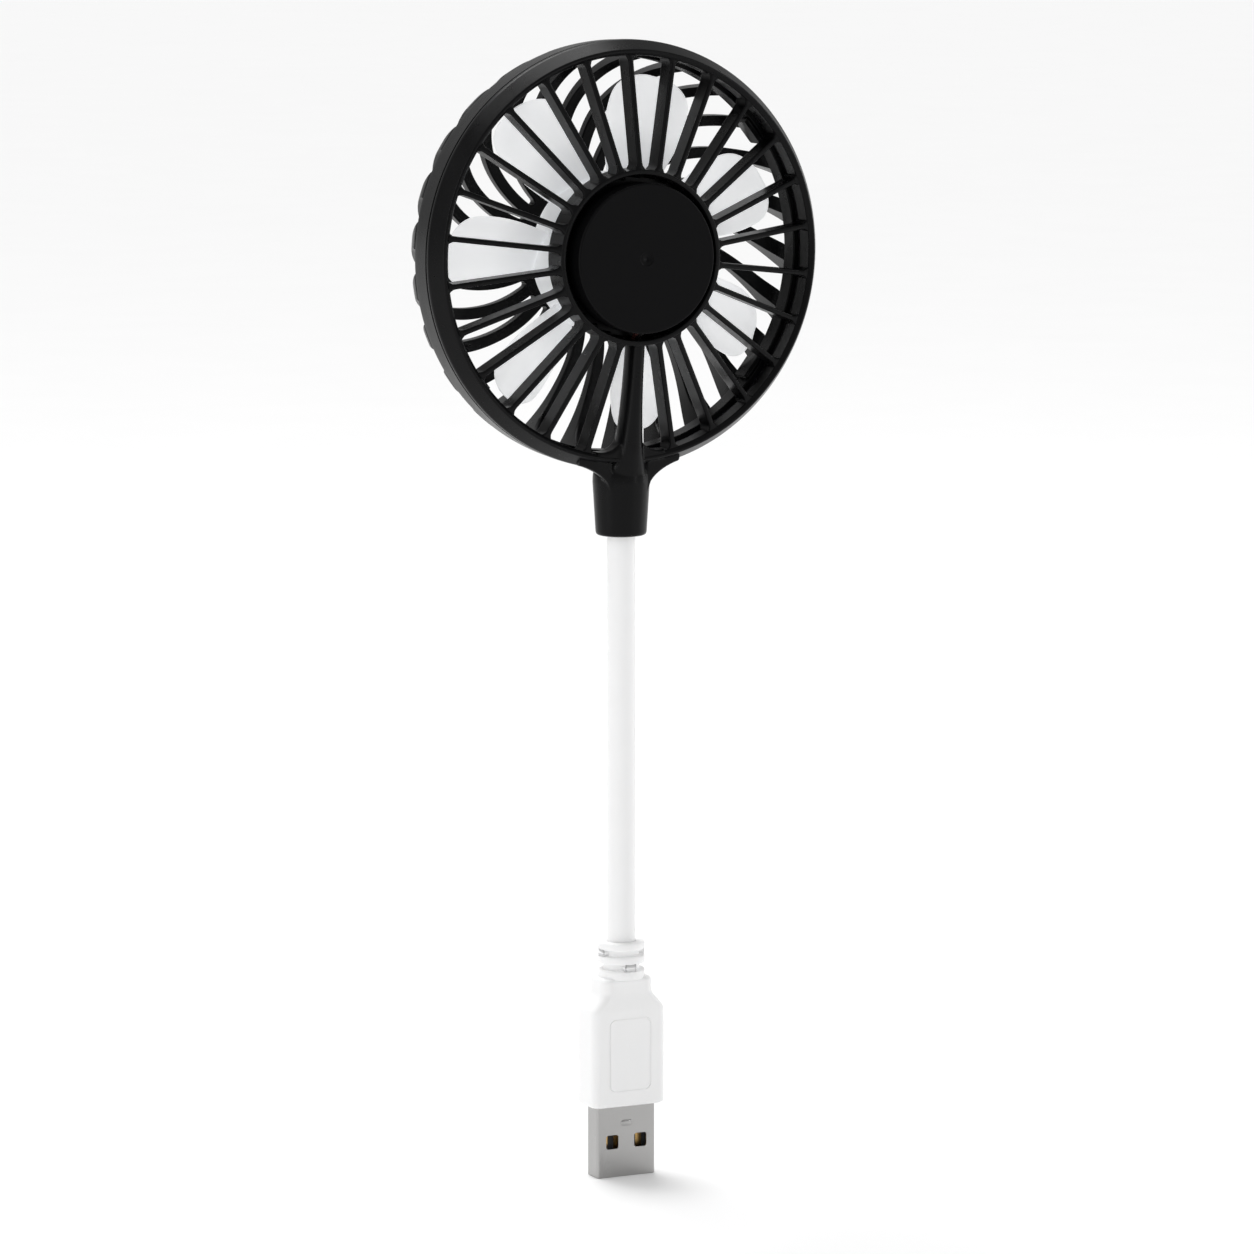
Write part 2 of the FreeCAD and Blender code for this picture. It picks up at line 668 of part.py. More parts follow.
def oval(half_wide, half_deep, y, z):
    """An upright oval section of the spoke; the longer half must come first for the ellipse."""
    wide_first = half_wide >= half_deep
    centre = Vector(0, y, z)
    along, across = Vector(half_wide, 0, 0), Vector(0, half_deep, 0)
    major, minor = (along, across) if wide_first else (across, along)
    return Part.Wire(Part.Ellipse(centre + major, centre + minor, centre).toShape())


def spoke_line():
    """Middle of the spoke: from the neck, in front of the rim, to the hub collar."""
    root_z = rim_height(0, float(d.rim_hole))
    tip_z = float(d.head_rise) - float(d.collar_radius) + 0.6
    root_y = -(float(d.rim_front) + 1.2 - float(d.spoke_root_deep))
    tip_y = -(float(d.collar_front) - float(d.spoke_tip_deep))
    return (root_y, root_z), (tip_y, tip_z)


def spoke():
    """Rounded bar whose section shrinks from the neck's to the tip's as it climbs."""
    (root_y, root_z), (tip_y, tip_z) = spoke_line()
    neck = float(d.neck_radius)
    low = float(d.neck_top) - 2.0
    steps = 10
    stations = [(neck - 0.4, neck - 0.4, 0.0, low)]
    for k in range(steps + 1):
        share = k / steps
        fall = (1 - share) ** 3
        wide = float(d.spoke_tip_half) + (float(d.spoke_root_half) - float(d.spoke_tip_half)) * fall
        deep = float(d.spoke_root_deep) + (float(d.spoke_tip_deep) - float(d.spoke_root_deep)) * share
        stations.append((wide, deep, root_y + (tip_y - root_y) * share, root_z + 0.4 + (tip_z - root_z - 0.4) * share))
    return Part.makeLoft([oval(*station) for station in stations], True, True)


def neck():
    """Tapered sleeve below the rim, with a rounded foot."""
    body = new_body("neck", z=d.neck_foot)
    corners = [(0, 0), (d.neck_foot_radius, 0), (d.neck_radius, d.neck_length), (d.neck_radius, d.neck_length + 2.4),
               (0, d.neck_length + 2.4)]
    revolve(body, corners, "XZ_Plane", "V_Axis")
    doc.recompute()
    foot = d.neck_foot_radius.number
    round_edges(body, d.neck_round, lambda edge: hasattr(edge.Curve, "Radius")
                and abs(edge.Curve.Radius - foot) < 1e-3 and abs(edge.Curve.Center.z) < 1e-3)
    return body


def on_fan(shape, degrees):
    """Turn a shape that lies on the fan's +X side round the fan's axis, then lift it to the head."""
    shape.rotate(Vector(), Vector(0, 1, 0), -degrees)
    shape.translate(Vector(0, 0, float(d.head_rise)))
    return shape


def block_on_fan(inner, outer, front, back, wide, degrees):
    block = Part.makeBox(outer - inner, back - front, wide, Vector(inner, front, -wide / 2))
    return on_fan(block, degrees)


def snap_tongues():
    """Tongues behind the spigot that hold the two guards together."""
    outer = float(d.rim_radius) - float(d.spigot_wall) - 0.25
    inner = float(d.rim_hole) + 0.45
    return [block_on_fan(inner, outer, -1.0, float(d.spigot_back) + 2.6, float(d.snap_width), angle)
            for angle in SNAP_ANGLES]


def collar_lugs():
    """Small lugs round the inside of the collar that centre the cap."""
    collar_in = float(d.collar_radius - d.collar_wall)
    front, back = -float(d.collar_front) + 0.9, -float(d.collar_back) - 1.5
    count = int(d.lug_count.number)
    angles = [-90 + 360 * (k + 0.5) / count for k in range(count)]
    return [block_on_fan(collar_in - 0.55, collar_in + 0.3, front, back, 0.6, angle) for angle in angles]


def pipe(points, radius, bend):
    """A round bar along straight runs joined by tangent arcs."""
    points = [Vector(*point) for point in points]
    edges = []
    here = points[0]
    for before, corner, after in zip(points, points[1:], points[2:]):
        back, ahead = (before - corner).normalize(), (after - corner).normalize()
        half = back.getAngle(ahead) / 2
        trim = min(bend / math.tan(half), 0.45 * min(before.distanceToPoint(corner), after.distanceToPoint(corner)))
        start, end = corner + back * trim, corner + ahead * trim
        bulge = trim * math.tan(half)
        inward = (back + ahead).normalize()
        middle = corner + inward * (bulge / math.sin(half) - bulge)
        edges.append(Part.makeLine(here, start))
        edges.append(Part.Arc(start, middle, end).toShape())
        here = end
    edges.append(Part.makeLine(here, points[-1]))
    path = Part.Wire(edges)
    section = Part.Wire(Part.makeCircle(radius, points[0], points[1] - points[0]))
    return path.makePipeShell([section], True, True)


def wire_way():
    """Points along the middle of the wire channel, from the arm's end to the hub."""
    (root_y, root_z), (tip_y, tip_z) = spoke_line()
    end = float(d.neck_foot + d.neck_seat)
    collar_in = float(d.head_rise - d.collar_radius + d.collar_wall)
    return [(0, -0.4, end + 0.6), (0, root_y + 1.1, root_z - 1.2), (0, tip_y - 0.1, tip_z - 0.8),
            (0, tip_y - 0.4, collar_in + 0.9)]


def motor_guard():
    """Rim, ribs, hub, wire spoke and neck: one moulding."""
    pieces = [guard_ring(), neck(), solid("spoke", spoke())]
    pieces += [solid("gusset", gusset(side)) for side in (-1, 1)]
    pieces += [solid("web", web(side)) for side in (-1, 1)]
    pieces += [solid("snap_tongues", Part.makeCompound(snap_tongues()))]
    pieces += [solid("collar_lugs", Part.makeCompound(collar_lugs()))]
    whole = weld("motor_guard", pieces)
    cavity_top = d.neck_seat + 2.4
    bore = cylinder("neck_bore", d.arm_radius + d.slip, d.neck_seat + 1, z=d.neck_foot - 1)
    cavity = cylinder("neck_cavity", d.arm_bore + 0.2, cavity_top, z=d.neck_foot)
    channel = solid("wire_channel", pipe(wire_way(), float(d.channel_radius), 2.0))
    lip_room = Part.makeCylinder(float(d.rim_radius) + 0.01, 8, Vector(0, float(d.spigot_back) + 0.15,
                                 float(d.head_rise)), Vector(0, 1, 0))
    lip_room = lip_room.cut(Part.makeCylinder(float(d.lip_hole) - 0.3, 12, Vector(0, -1, float(d.head_rise)),
                                              Vector(0, 1, 0)))
    low = float(d.neck_top) + 1.6
    lip_room = lip_room.common(Part.makeBox(16, 12, 8, Vector(-8, -1, low + 1.0)))
    inside_cup = cylinder("motor_room", d.motor_radius + d.slip, d.motor_front + d.motor_back + 1,
                          y=cup_front() - 0.2, z=d.head_rise, turn=TO_BACK)
    return node(cut("motor_guard", whole, [bore, cavity, channel, solid("lip_room", lip_room), inside_cup]),
                "motor_guard")


def hub_cap():
    front = -d.cap_front
    skirt_in = d.cup_out + d.cap_fit
    body = new_body("cap", z=d.head_rise)
    corners = [(front + 0.12, 0), (front + 0.12, d.gate_radius), (front, d.gate_radius), (front, d.cap_radius),
               (front + d.cap_thick + d.cap_skirt, d.cap_radius), (front + d.cap_thick + d.cap_skirt, skirt_in),
               (front + d.cap_thick, skirt_in), (front + d.cap_thick, 0)]
    revolve(body, corners)
    round_edges(body, d.cap_chamfer, ring_at(front, d.cap_radius))
    notch = box("cap_notch", 3.4, d.cap_skirt + 0.1, 4, y=front + d.cap_thick + d.cap_skirt / 2 + 0.3,
                z=d.head_rise - d.cap_radius - 1)
    return node(cut("cap", body, [notch]), "hub_cap")


# ---- swirl guard --------------------------------------------------------------------------------------------

def meet(bend, radius):
    """Where a rib's edge, an arc of that bend that leaves the hub disc radially, meets a circle."""
    start = float(d.swirl_hub)
    drop = float(d.swirl_bend)
    span = math.hypot(start, drop)
    along = (radius * radius - bend * bend + span * span) / (2 * span)
    aside = math.sqrt(radius * radius - along * along)
    x = (along * start + aside * drop) / span
    z = (-along * drop + aside * start) / span
    return x, z


def turned(point, degrees):
    angle = math.radians(degrees)
    return (point[0] * math.cos(angle) - point[1] * math.sin(angle),
            point[0] * math.sin(angle) + point[1] * math.cos(angle))


def swirl_slot():
    """The gap between two swirled ribs, seen along the fan's axis, with round ends."""
    pitch = 360.0 / d.swirl_count.number
    half = float(d.swirl_rib) / 2
    bend = float(d.swirl_bend)
    inner, outer = float(d.swirl_hub + d.slot_root), float(d.swirl_reach)
    square = outer - 2.1

    def low(radius):
        return meet(bend + half, radius)

    def high(radius):
        return turned(meet(bend - half, radius), pitch)

    def between(radius):
        a, b = low(radius), high(radius)
        share = radius / math.hypot((a[0] + b[0]) / 2, (a[1] + b[1]) / 2)
        return (a[0] + b[0]) / 2 * share, (a[1] + b[1]) / 2 * share

    middle = (inner + square) / 2
    arcs = [(low(inner), low(middle), low(square)), (low(square), between(outer), high(square)),
            (high(square), high(middle), high(inner)), (high(inner), between(inner - 0.6), low(inner))]
    front = float(d.lip_deep + d.spigot_back) + 0.6
    edges = [Part.Arc(*[Vector(x, front, z) for x, z in arc]).toShape() for arc in arcs]
    return Part.Face(Part.Wire(edges)).extrude(Vector(0, float(d.swirl_back), 0))


def swirl_corners():
    outer_back = d.rim_radius - d.spigot_wall + d.fit - 0.1
    lip_front = d.spigot_back + 0.3
    skirt_front = -(d.parting - d.groove)
    room_back = d.swirl_back - d.swirl_thick
    return [(skirt_front, outer_back), (skirt_front, d.rim_radius), (d.swirl_back, d.dome_radius),
            (d.swirl_back, 0), (room_back, 0), (room_back, d.lip_hole), (lip_front, d.lip_hole),
            (lip_front, outer_back)]


def swirl_guard():
    """Domed cover: ribs swept clockwise from the middle disc, seen from the hub cap's side."""
    body = new_body("swirl_dome", z=d.head_rise)
    revolve(body, swirl_corners())
    round_edges(body, d.swirl_round, ring_at(d.swirl_back, d.dome_radius))
    round_edges(body, d.swirl_round - d.swirl_thick, ring_at(d.swirl_back - d.swirl_thick, d.lip_hole))
    slot = swirl_slot()
    count = int(d.swirl_count.number)
    slots = [on_fan(slot.copy(), SWIRL_START + 360.0 * k / count) for k in range(count)]
    notches = [block_on_fan(float(d.lip_hole) - 1, float(d.rim_radius) - float(d.spigot_wall) - 0.02, -2.5,
                            float(d.spigot_back) + 2.9, float(d.snap_width) + 0.5, angle)
               for angle in SNAP_ANGLES]
    snaps = [block_on_fan(float(d.lip_hole) - 1.3, float(d.lip_hole) + 0.5, float(d.spigot_back) + 0.3,
                          float(d.spigot_back + d.lip_deep) + 0.3, float(d.snap_width) + 2.6, angle)
             for angle in SNAP_ANGLES]
    room = float(d.neck_radius) + 0.15
    neck_room = Part.makeCylinder(room, 6.0, Vector(0, 0, float(d.neck_top) - 2.0))
    keepers = solid("snap_keepers", snaps[0].fuse(snaps[1:]))
    whole = fuse("swirl_guard", [body, keepers])
    return node(cut("swirl_guard", whole, [solid("swirl_slots", Part.makeCompound(slots)),
                                           solid("snap_notches", Part.makeCompound(notches)),
                                           solid("neck_room", neck_room)]), "swirl_guard")


# ---- impeller -----------------------------------------------------------------------------------------------

def blade_section(radius, chord, pitch, thick):
    """A cambered section across the blade at that radius: two arcs joined by thin edges."""
    tilt = math.radians(pitch)
    edge, camber = thick * 0.3, chord * 0.07

    def at(along, off):
        return Vector(radius, float(d.blade_middle) + along * math.sin(tilt) + off * math.cos(tilt),
                      along * math.cos(tilt) - off * math.sin(tilt))

    half = chord / 2
    low = at(-half, -edge / 2), at(0, camber - thick / 2), at(half, -edge / 2)
    high = at(half, edge / 2), at(0, camber + thick / 2), at(-half, edge / 2)
    edges = [Part.Arc(*low).toShape(), Part.makeLine(low[2], high[0]), Part.Arc(*high).toShape(),
             Part.makeLine(high[2], low[0])]
    return Part.Wire(edges)


def blade():
    root = float(d.hub_radius) - 0.7
    span = float(d.blade_tip) - root
    sections = []
    for share, chord, pitch in BLADE_STATIONS:
        thick = float(d.blade_thick) * (1 - 0.55 * share)
        sections.append(blade_section(root + span * share, chord, pitch, thick))
    return Part.makeLoft(sections, True, False)


def hub_shell():
    wall = d.hub_wall
    inner = d.hub_radius - wall
    shaft_room = d.shaft_radius + d.slip
    boss_front = d.motor_back + d.bush_length
    return turned_on_fan("impeller_hub", [(-d.hub_front, d.hub_radius), (-d.hub_front, inner),
                                          (d.hub_back - wall, inner), (d.hub_back - wall, d.boss_radius),
                                          (boss_front, d.boss_radius), (boss_front, shaft_room),
                                          (d.hub_back - 0.6, shaft_room), (d.hub_back - 0.6, 0), (d.hub_back, 0),
                                          (d.hub_back, d.hub_radius)])


def impeller():
    one = blade()
    count = int(d.blade_count.number)
    blades = [on_fan(one.copy(), BLADE_START + 360.0 * k / count) for k in range(count)]
    vanes = solid("blades", Part.makeCompound(blades))
    return node(fuse("impeller", [hub_shell(), vanes]), "impeller")


# ---- motor --------------------------------------------------------------------------------------------------

def motor_can():
    inner = d.motor_radius - d.can_wall
    boss_in, boss_out = d.bush_radius + d.slip, d.bush_radius + d.boss_wall
    back = d.motor_back
    boss_back = back + d.bush_length - d.can_wall
    return node(turned_on_fan("can", [(-d.motor_front, d.motor_radius), (-d.motor_front, inner),
                                      (back - d.can_wall, inner), (back - d.can_wall, boss_in),
                                      (boss_back, boss_in), (boss_back, boss_out), (back, boss_out),
                                      (back, d.motor_radius)]), "motor_can")


def motor_end_cap():
    front = -d.motor_front
    back = front + d.end_cap_thick
    seat = d.bush_radius + d.slip
    outer = d.motor_radius - d.can_wall - d.slip
    disc = turned_on_fan("end_cap_disc", [(front, outer), (front, seat), (back, seat), (back, outer)])
    slots = []
    for side in (-1, 1):
        slots.append(box("tag_slot", d.terminal_width, d.end_cap_thick + 1, 0.5,
                         x=d.terminal_pitch / 2 * side, y=front + d.end_cap_thick / 2, z=tag_height()))
    return node(cut("end_cap", disc, slots), "motor_end_cap")


def tag_height():
    return d.head_rise - 6.0


def terminals():
    tags = []
    for side in (-1, 1):
        tags.append(box("tag", d.terminal_width, d.end_cap_thick + d.terminal_reach, 0.5,
                        x=d.terminal_pitch / 2 * side,
                        y=-d.motor_front + (d.end_cap_thick - d.terminal_reach) / 2, z=tag_height()))
    return node(group("tags", tags), "motor_terminals")


def bushing(label, front):
    inner = d.shaft_radius + d.running_fit
    return node(turned_on_fan(label + "_turned", [(front, d.bush_radius), (front, inner),
                                                  (front + d.bush_length, inner),
                                                  (front + d.bush_length, d.bush_radius)]), label)


def magnets():
    """Two arc magnets against the can's wall."""
    outer = float(d.motor_radius - d.can_wall) - float(d.slip)
    inner = outer - float(d.magnet_thick)
    span = float(d.magnet_span)
    arcs = []
    for side in (0, 180):
        start = side - span / 2
        low = Vector(inner * math.cos(math.radians(start)), 0, inner * math.sin(math.radians(start)))
        high = Vector(outer * math.cos(math.radians(start)), 0, outer * math.sin(math.radians(start)))
        section = Part.makeLine(low, high)
        shell = section.revolve(Vector(), Vector(0, -1, 0), span)
        arc = shell.extrude(Vector(0, float(d.magnet_length), 0))
        arc.translate(Vector(0, float(d.motor_back - d.can_wall) - float(d.magnet_length) - 0.2, float(d.head_rise)))
        arcs.append(arc)
    return node(solid("magnet_pair", Part.makeCompound(arcs)), "motor_magnets")


def armature_radius():
    return float(d.motor_radius - d.can_wall - d.magnet_thick - d.air_gap) - float(d.slip)


def stack_front():
    return float(d.motor_back - d.can_wall) - float(d.stack_length) - 1.6


def armature():
    """Three-pole lamination stack."""
    outer = armature_radius()
    inner = outer - float(d.shoe_thick)
    length, front = float(d.stack_length), stack_front()
    axis = Vector(0, 1, 0)
    base = Vector(0, front, 0)
    ring = Part.makeCylinder(outer, length, base, axis).cut(Part.makeCylinder(inner, length, base, axis))
    hub = Part.makeCylinder(float(d.core_hub), length, base, axis)
    width = float(d.pole_width)
    pieces = []
    for pole in range(MOTOR_POLES):
        gap = Part.makeBox(outer, length, 2.0, Vector(0, front, -1.0))
        gap.rotate(Vector(), axis, 60 + 120 * pole)
        ring = ring.cut(gap)
        neck_bar = Part.makeBox(inner + 0.3, length, width, Vector(0, front, -width / 2))
        neck_bar.rotate(Vector(), axis, 120 * pole)
        pieces.append(neck_bar)
    stack = hub.fuse([ring] + pieces).removeSplitter()
    stack = stack.cut(Part.makeCylinder(float(d.shaft_radius) + float(d.slip), length, base, axis))
    stack.translate(Vector(0, 0, float(d.head_rise)))
    return node(solid("stack", stack), "armature_core")


def windings():
    """One coil round the neck of each pole."""
    width, length = float(d.pole_width), float(d.stack_length)
    wrap, slack = 1.0, float(d.slip)
    shoe = armature_radius() - float(d.shoe_thick)
    inner, outer = float(d.core_hub) + 0.45, math.sqrt(shoe ** 2 - (width / 2 + wrap) ** 2) - slack * 2
    coils = []
    for pole in range(MOTOR_POLES):
        solid_coil = Part.makeBox(outer - inner, length + wrap * 2, width + wrap * 2,
                                  Vector(inner, stack_front() - wrap, -width / 2 - wrap))
        solid_coil = solid_coil.makeFillet(0.6, [edge for edge in solid_coil.Edges
                                                 if abs(edge.tangentAt(edge.FirstParameter).x) > 0.9])
        core = Part.makeBox(outer - inner + 2, length + slack * 2, width + slack * 2,
                            Vector(inner - 1, stack_front() - slack, -width / 2 - slack))
        coil = solid_coil.cut(core)
        coil.rotate(Vector(), Vector(0, 1, 0), 120 * pole)
        coil.translate(Vector(0, 0, float(d.head_rise)))
        coils.append(coil)
    return node(solid("coils", Part.makeCompound(coils)), "armature_windings")


def commutator_front():
    return stack_front() - 1.2 - float(d.commutator_length)


def commutator():
    length = float(d.commutator_length)
    axis = Vector(0, 1, 0)
    base = Vector(0, commutator_front(), 0)
    drum = Part.makeCylinder(float(d.commutator_radius), length, base, axis)
    drum = drum.cut(Part.makeCylinder(float(d.shaft_radius) + float(d.slip), length, base, axis))
    for pole in range(MOTOR_POLES):
        slit = Part.makeBox(2, length - 0.5, 0.25, Vector(float(d.commutator_radius) - 0.5, base.y, -0.125))
        slit.rotate(Vector(), axis, 60 + 120 * pole)
        drum = drum.cut(slit)
    drum.translate(Vector(0, 0, float(d.head_rise)))
    return node(solid("drum", drum), "commutator")


def brushes():
    """A leaf on each side of the commutator, fixed to the end cap."""
    near = float(d.commutator_radius) + float(d.brush_gap)
    front = -float(d.motor_front) + float(d.end_cap_thick)
    leaves = []
    for side in (-1, 1):
        leaf = Part.makeBox(0.25, commutator_front() + float(d.commutator_length) - front, 2.0,
                            Vector(near + 0.7, front, -1.0))
        block = Part.makeBox(0.7, float(d.commutator_length) - 0.7, 1.6, Vector(near, commutator_front() + 0.4, -0.8))
        brush = leaf.fuse(block)
        foot = Part.makeBox(1.8, 0.3, 2.0, Vector(near + 0.7, front, -1.0))
        brush = brush.fuse(foot)
        if side < 0:
            brush = brush.mirror(Vector(), Vector(1, 0, 0))
        brush.translate(Vector(0, 0, float(d.head_rise)))
        leaves.append(brush)
    return node(solid("leaves", Part.makeCompound(leaves)), "motor_brushes")


def shaft():
    front = -d.motor_front + 0.3
    return node(cylinder("spindle", d.shaft_radius, d.motor_front - 0.3 + d.hub_back - 0.7, y=front, z=d.head_rise,
                         turn=TO_BACK), "motor_shaft")


def motor():
    motor_can()
    motor_end_cap()
    terminals()
    bushing("front_bushing", -d.motor_front + 0.05)
    bushing("rear_bushing", d.motor_back - d.can_wall + 0.05)
    magnets()
    armature()
    windings()
    commutator()
    brushes()
    shaft()


def leads():
    """Red and black leads from the arm, up the spoke's channel, to the motor's tags."""
    way = wire_way()
    end = float(d.neck_foot + d.neck_seat)
    near, low = 0.52, float(tag_height())
    above_cup = float(cup_front()) - 0.75
    for side, colour in ((-1, "red"), (1, "black")):
        points = [(float(d.conductor_place) * side, 0, end + 0.02), (float(d.conductor_place) * side, 0, end + 0.7),
                  (near * side, -0.45, end + 2.1), (near * side, way[1][1], way[1][2]),
                  (near * side, way[2][1], way[2][2]), (near * side, way[3][1], way[3][2] - 0.2),
                  (near * 1.3 * side, above_cup, float(d.head_rise - d.motor_radius - d.cup_wall) - 0.9),
                  (float(d.terminal_pitch) / 2 * side, above_cup, low - 0.6)]
        node(solid("lead_pipe_" + colour, pipe(points, float(d.conductor_radius) * 0.95, 1.2)), "lead_" + colour)


# ---- build --------------------------------------------------------------------------------------------------

def check():
    """Stop if any object failed, or any sub-part is empty or broken."""
    for thing in doc.Objects:
        if "Invalid" in thing.State or "Error" in thing.State:
            raise RuntimeError("failed object: %s (%s)" % (thing.Name, thing.Label))
    for thing in NODES:
        shape = thing.Shape
        if shape.isNull() or not shape.isValid() or not shape.Solids:
            raise RuntimeError("bad sub-part: " + thing.Label)


plug_shell()
contact_carrier()
plug_contacts()
inner_mould()
plug_grip()
arm()
motor_guard()
hub_cap()
swirl_guard()
impeller()
motor()
leads()
doc.recompute()
check()

os.makedirs("parts", exist_ok=True)
for thing in NODES:
    thing.Shape.exportStep("parts/%s.step" % thing.Label)
    print("%-18s solids %d  volume %.1f mm3" % (thing.Label, len(thing.Shape.Solids), thing.Shape.Volume))
print("nodes", len(NODES))
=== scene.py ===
# %% [markdown]
# # A small fan on a bendable USB arm
# The imported CAD model gives every place and size. This notebook builds the finish round it: smooth mouldings with
# soft edges, a jacket cut into lengths along the arm, and a material for each surface. It starts by loading that frame.

import json
import math

import bmesh
import bpy
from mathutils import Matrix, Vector


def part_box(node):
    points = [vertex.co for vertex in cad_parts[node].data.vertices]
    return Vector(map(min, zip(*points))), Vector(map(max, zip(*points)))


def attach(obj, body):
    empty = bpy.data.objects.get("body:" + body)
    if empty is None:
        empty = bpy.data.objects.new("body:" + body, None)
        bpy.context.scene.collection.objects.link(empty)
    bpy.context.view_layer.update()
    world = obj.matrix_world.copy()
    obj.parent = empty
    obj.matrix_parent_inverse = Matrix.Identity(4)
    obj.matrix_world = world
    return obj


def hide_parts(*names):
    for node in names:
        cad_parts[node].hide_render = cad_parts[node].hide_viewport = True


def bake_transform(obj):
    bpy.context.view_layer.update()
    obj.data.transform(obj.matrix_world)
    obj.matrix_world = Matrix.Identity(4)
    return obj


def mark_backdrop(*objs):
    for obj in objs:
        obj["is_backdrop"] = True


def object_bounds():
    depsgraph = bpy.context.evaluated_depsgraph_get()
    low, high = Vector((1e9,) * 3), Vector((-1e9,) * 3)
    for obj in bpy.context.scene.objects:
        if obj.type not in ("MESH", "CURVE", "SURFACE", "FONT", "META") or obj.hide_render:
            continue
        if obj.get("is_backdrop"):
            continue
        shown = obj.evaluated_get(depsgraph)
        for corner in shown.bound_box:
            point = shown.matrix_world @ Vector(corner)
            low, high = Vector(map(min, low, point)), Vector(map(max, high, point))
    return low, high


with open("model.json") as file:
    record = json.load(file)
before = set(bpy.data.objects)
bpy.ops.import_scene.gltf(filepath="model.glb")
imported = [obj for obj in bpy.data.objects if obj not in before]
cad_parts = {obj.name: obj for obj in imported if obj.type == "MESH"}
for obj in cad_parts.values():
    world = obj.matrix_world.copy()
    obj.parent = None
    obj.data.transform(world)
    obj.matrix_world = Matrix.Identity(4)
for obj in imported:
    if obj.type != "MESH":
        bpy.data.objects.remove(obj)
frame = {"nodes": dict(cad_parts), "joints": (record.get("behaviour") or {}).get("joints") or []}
cad_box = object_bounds()
nodes = frame["nodes"]
MM = 0.001


# %% [markdown]
# Everything on the head turns round or sits on one line, the fan's axis, and everything on the arm sits on another.
# Both are read from the frame, so a change in the CAD model moves the finish too.

# %% Places read from the frame
spin = next(joint for joint in frame["joints"] if joint.get("continuous"))
bends = [joint for joint in frame["joints"] if not joint.get("continuous")]
AXIS = spin["pos_m"][2] / MM
RIM_RADIUS = (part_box("motor_guard")[1].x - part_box("motor_guard")[0].x) / 2 / MM
NECK_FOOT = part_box("motor_guard")[0].z / MM
GRIP_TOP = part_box("plug_grip")[1].z / MM
ARM_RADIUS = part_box("jacket_base")[1].x / MM
print("fan axis at %.1f mm, rim radius %.1f mm, neck starts at %.1f mm" % (AXIS, RIM_RADIUS, NECK_FOOT))


# %% [markdown]
# ## Mesh helpers
# A moulded edge is never sharp: it has a small radius that catches a line of light. So each outline below is a list
# of corners with a radius each, and `soften` turns a corner into a short arc before the outline is used.

# %% Soften the corners of an outline
def soften(corners, steps=4):
    """Points of a closed outline. Each corner is (a, b, radius)."""
    points = []
    for here, (a, b, radius) in enumerate(corners):
        corner = Vector((a, b))
        before = Vector(corners[here - 1][:2]) - corner
        after = Vector(corners[(here + 1) % len(corners)][:2]) - corner
        turn = before.angle(after)
        reach = 0 if radius <= 0 else min(radius / math.tan(turn / 2), before.length * 0.45, after.length * 0.45)
        if reach < 1e-4:
            points.append(corner)
            continue
        start, end = corner + before.normalized() * reach, corner + after.normalized() * reach
        bulge = reach * math.tan(turn / 2)
        middle = corner + (before.normalized() + after.normalized()).normalized() * (bulge / math.sin(turn / 2))
        low, high = start - middle, end - middle
        sweep = low.angle_signed(high)
        for step in range(steps + 1):
            angle = -sweep * step / steps
            spun = Vector((low.x * math.cos(angle) - low.y * math.sin(angle),
                           low.x * math.sin(angle) + low.y * math.cos(angle)))
            points.append(middle + spun)
    return points


# %% Make an object from points and faces
def new_piece(name, points, faces):
    """A smooth-shaded mesh object. Points are in millimetres."""
    mesh = bpy.data.meshes.new(name)
    mesh.from_pydata([Vector(point) * MM for point in points], [], faces)
    shape = bmesh.new()
    shape.from_mesh(mesh)
    bmesh.ops.remove_doubles(shape, verts=shape.verts, dist=1e-7)
    bmesh.ops.recalc_face_normals(shape, faces=shape.faces)
    shape.to_mesh(mesh)
    shape.free()
    mesh.shade_smooth()
    piece = bpy.data.objects.new(name, mesh)
    bpy.context.scene.collection.objects.link(piece)
    return piece


# %% Turn an outline round an axis
def turned(name, corners, axis, segments=160, steps=4):
    """A closed outline turned round the fan's axis, as (y, radius), or the arm's, as (z, radius)."""
    outline = soften(corners, steps)
    points, faces = [], []
    count = len(outline)
    for turn in range(segments):
        angle = 2 * math.pi * turn / segments
        for along, radius in outline:
            x, other = radius * math.cos(angle), radius * math.sin(angle)
            points.append((x, along, other + AXIS) if axis == "fan" else (x, other, along))
    for turn in range(segments):
        ring, following = turn * count, (turn + 1) % segments * count
        for k in range(count):
            after = (k + 1) % count
            faces.append((ring + k, ring + after, following + after, following + k))
    return new_piece(name, points, faces)


# %% Skin a row of sections
def lofted(name, sections):
    """A closed skin through sections that all have as many points, with its two ends capped."""
    count = len(sections[0])
    points = [point for section in sections for point in section]
    faces = []
    for row in range(len(sections) - 1):
        here, there = row * count, (row + 1) * count
        for k in range(count):
            after = (k + 1) % count
            faces.append((here + k, here + after, there + after, there + k))
    faces.append(tuple(range(count))[::-1])
    faces.append(tuple(range(len(points) - count, len(points))))
    return new_piece(name, points, faces)


# %% Join and tidy pieces
def plain(piece):
    """Bake the piece's modifiers into its mesh."""
    evaluated = piece.evaluated_get(bpy.context.evaluated_depsgraph_get())
    mesh = bpy.data.meshes.new_from_object(evaluated)
    piece.modifiers.clear()
    piece.data = mesh
    return piece


def joined(name, parts):
    """One object from several, which are removed."""
    shape = bmesh.new()
    for part in parts:
        shape.from_mesh(part.data)
        bpy.data.objects.remove(part)
    mesh = bpy.data.meshes.new(name)
    shape.to_mesh(mesh)
    shape.free()
    mesh.shade_smooth()
    piece = bpy.data.objects.new(name, mesh)
    bpy.context.scene.collection.objects.link(piece)
    return piece


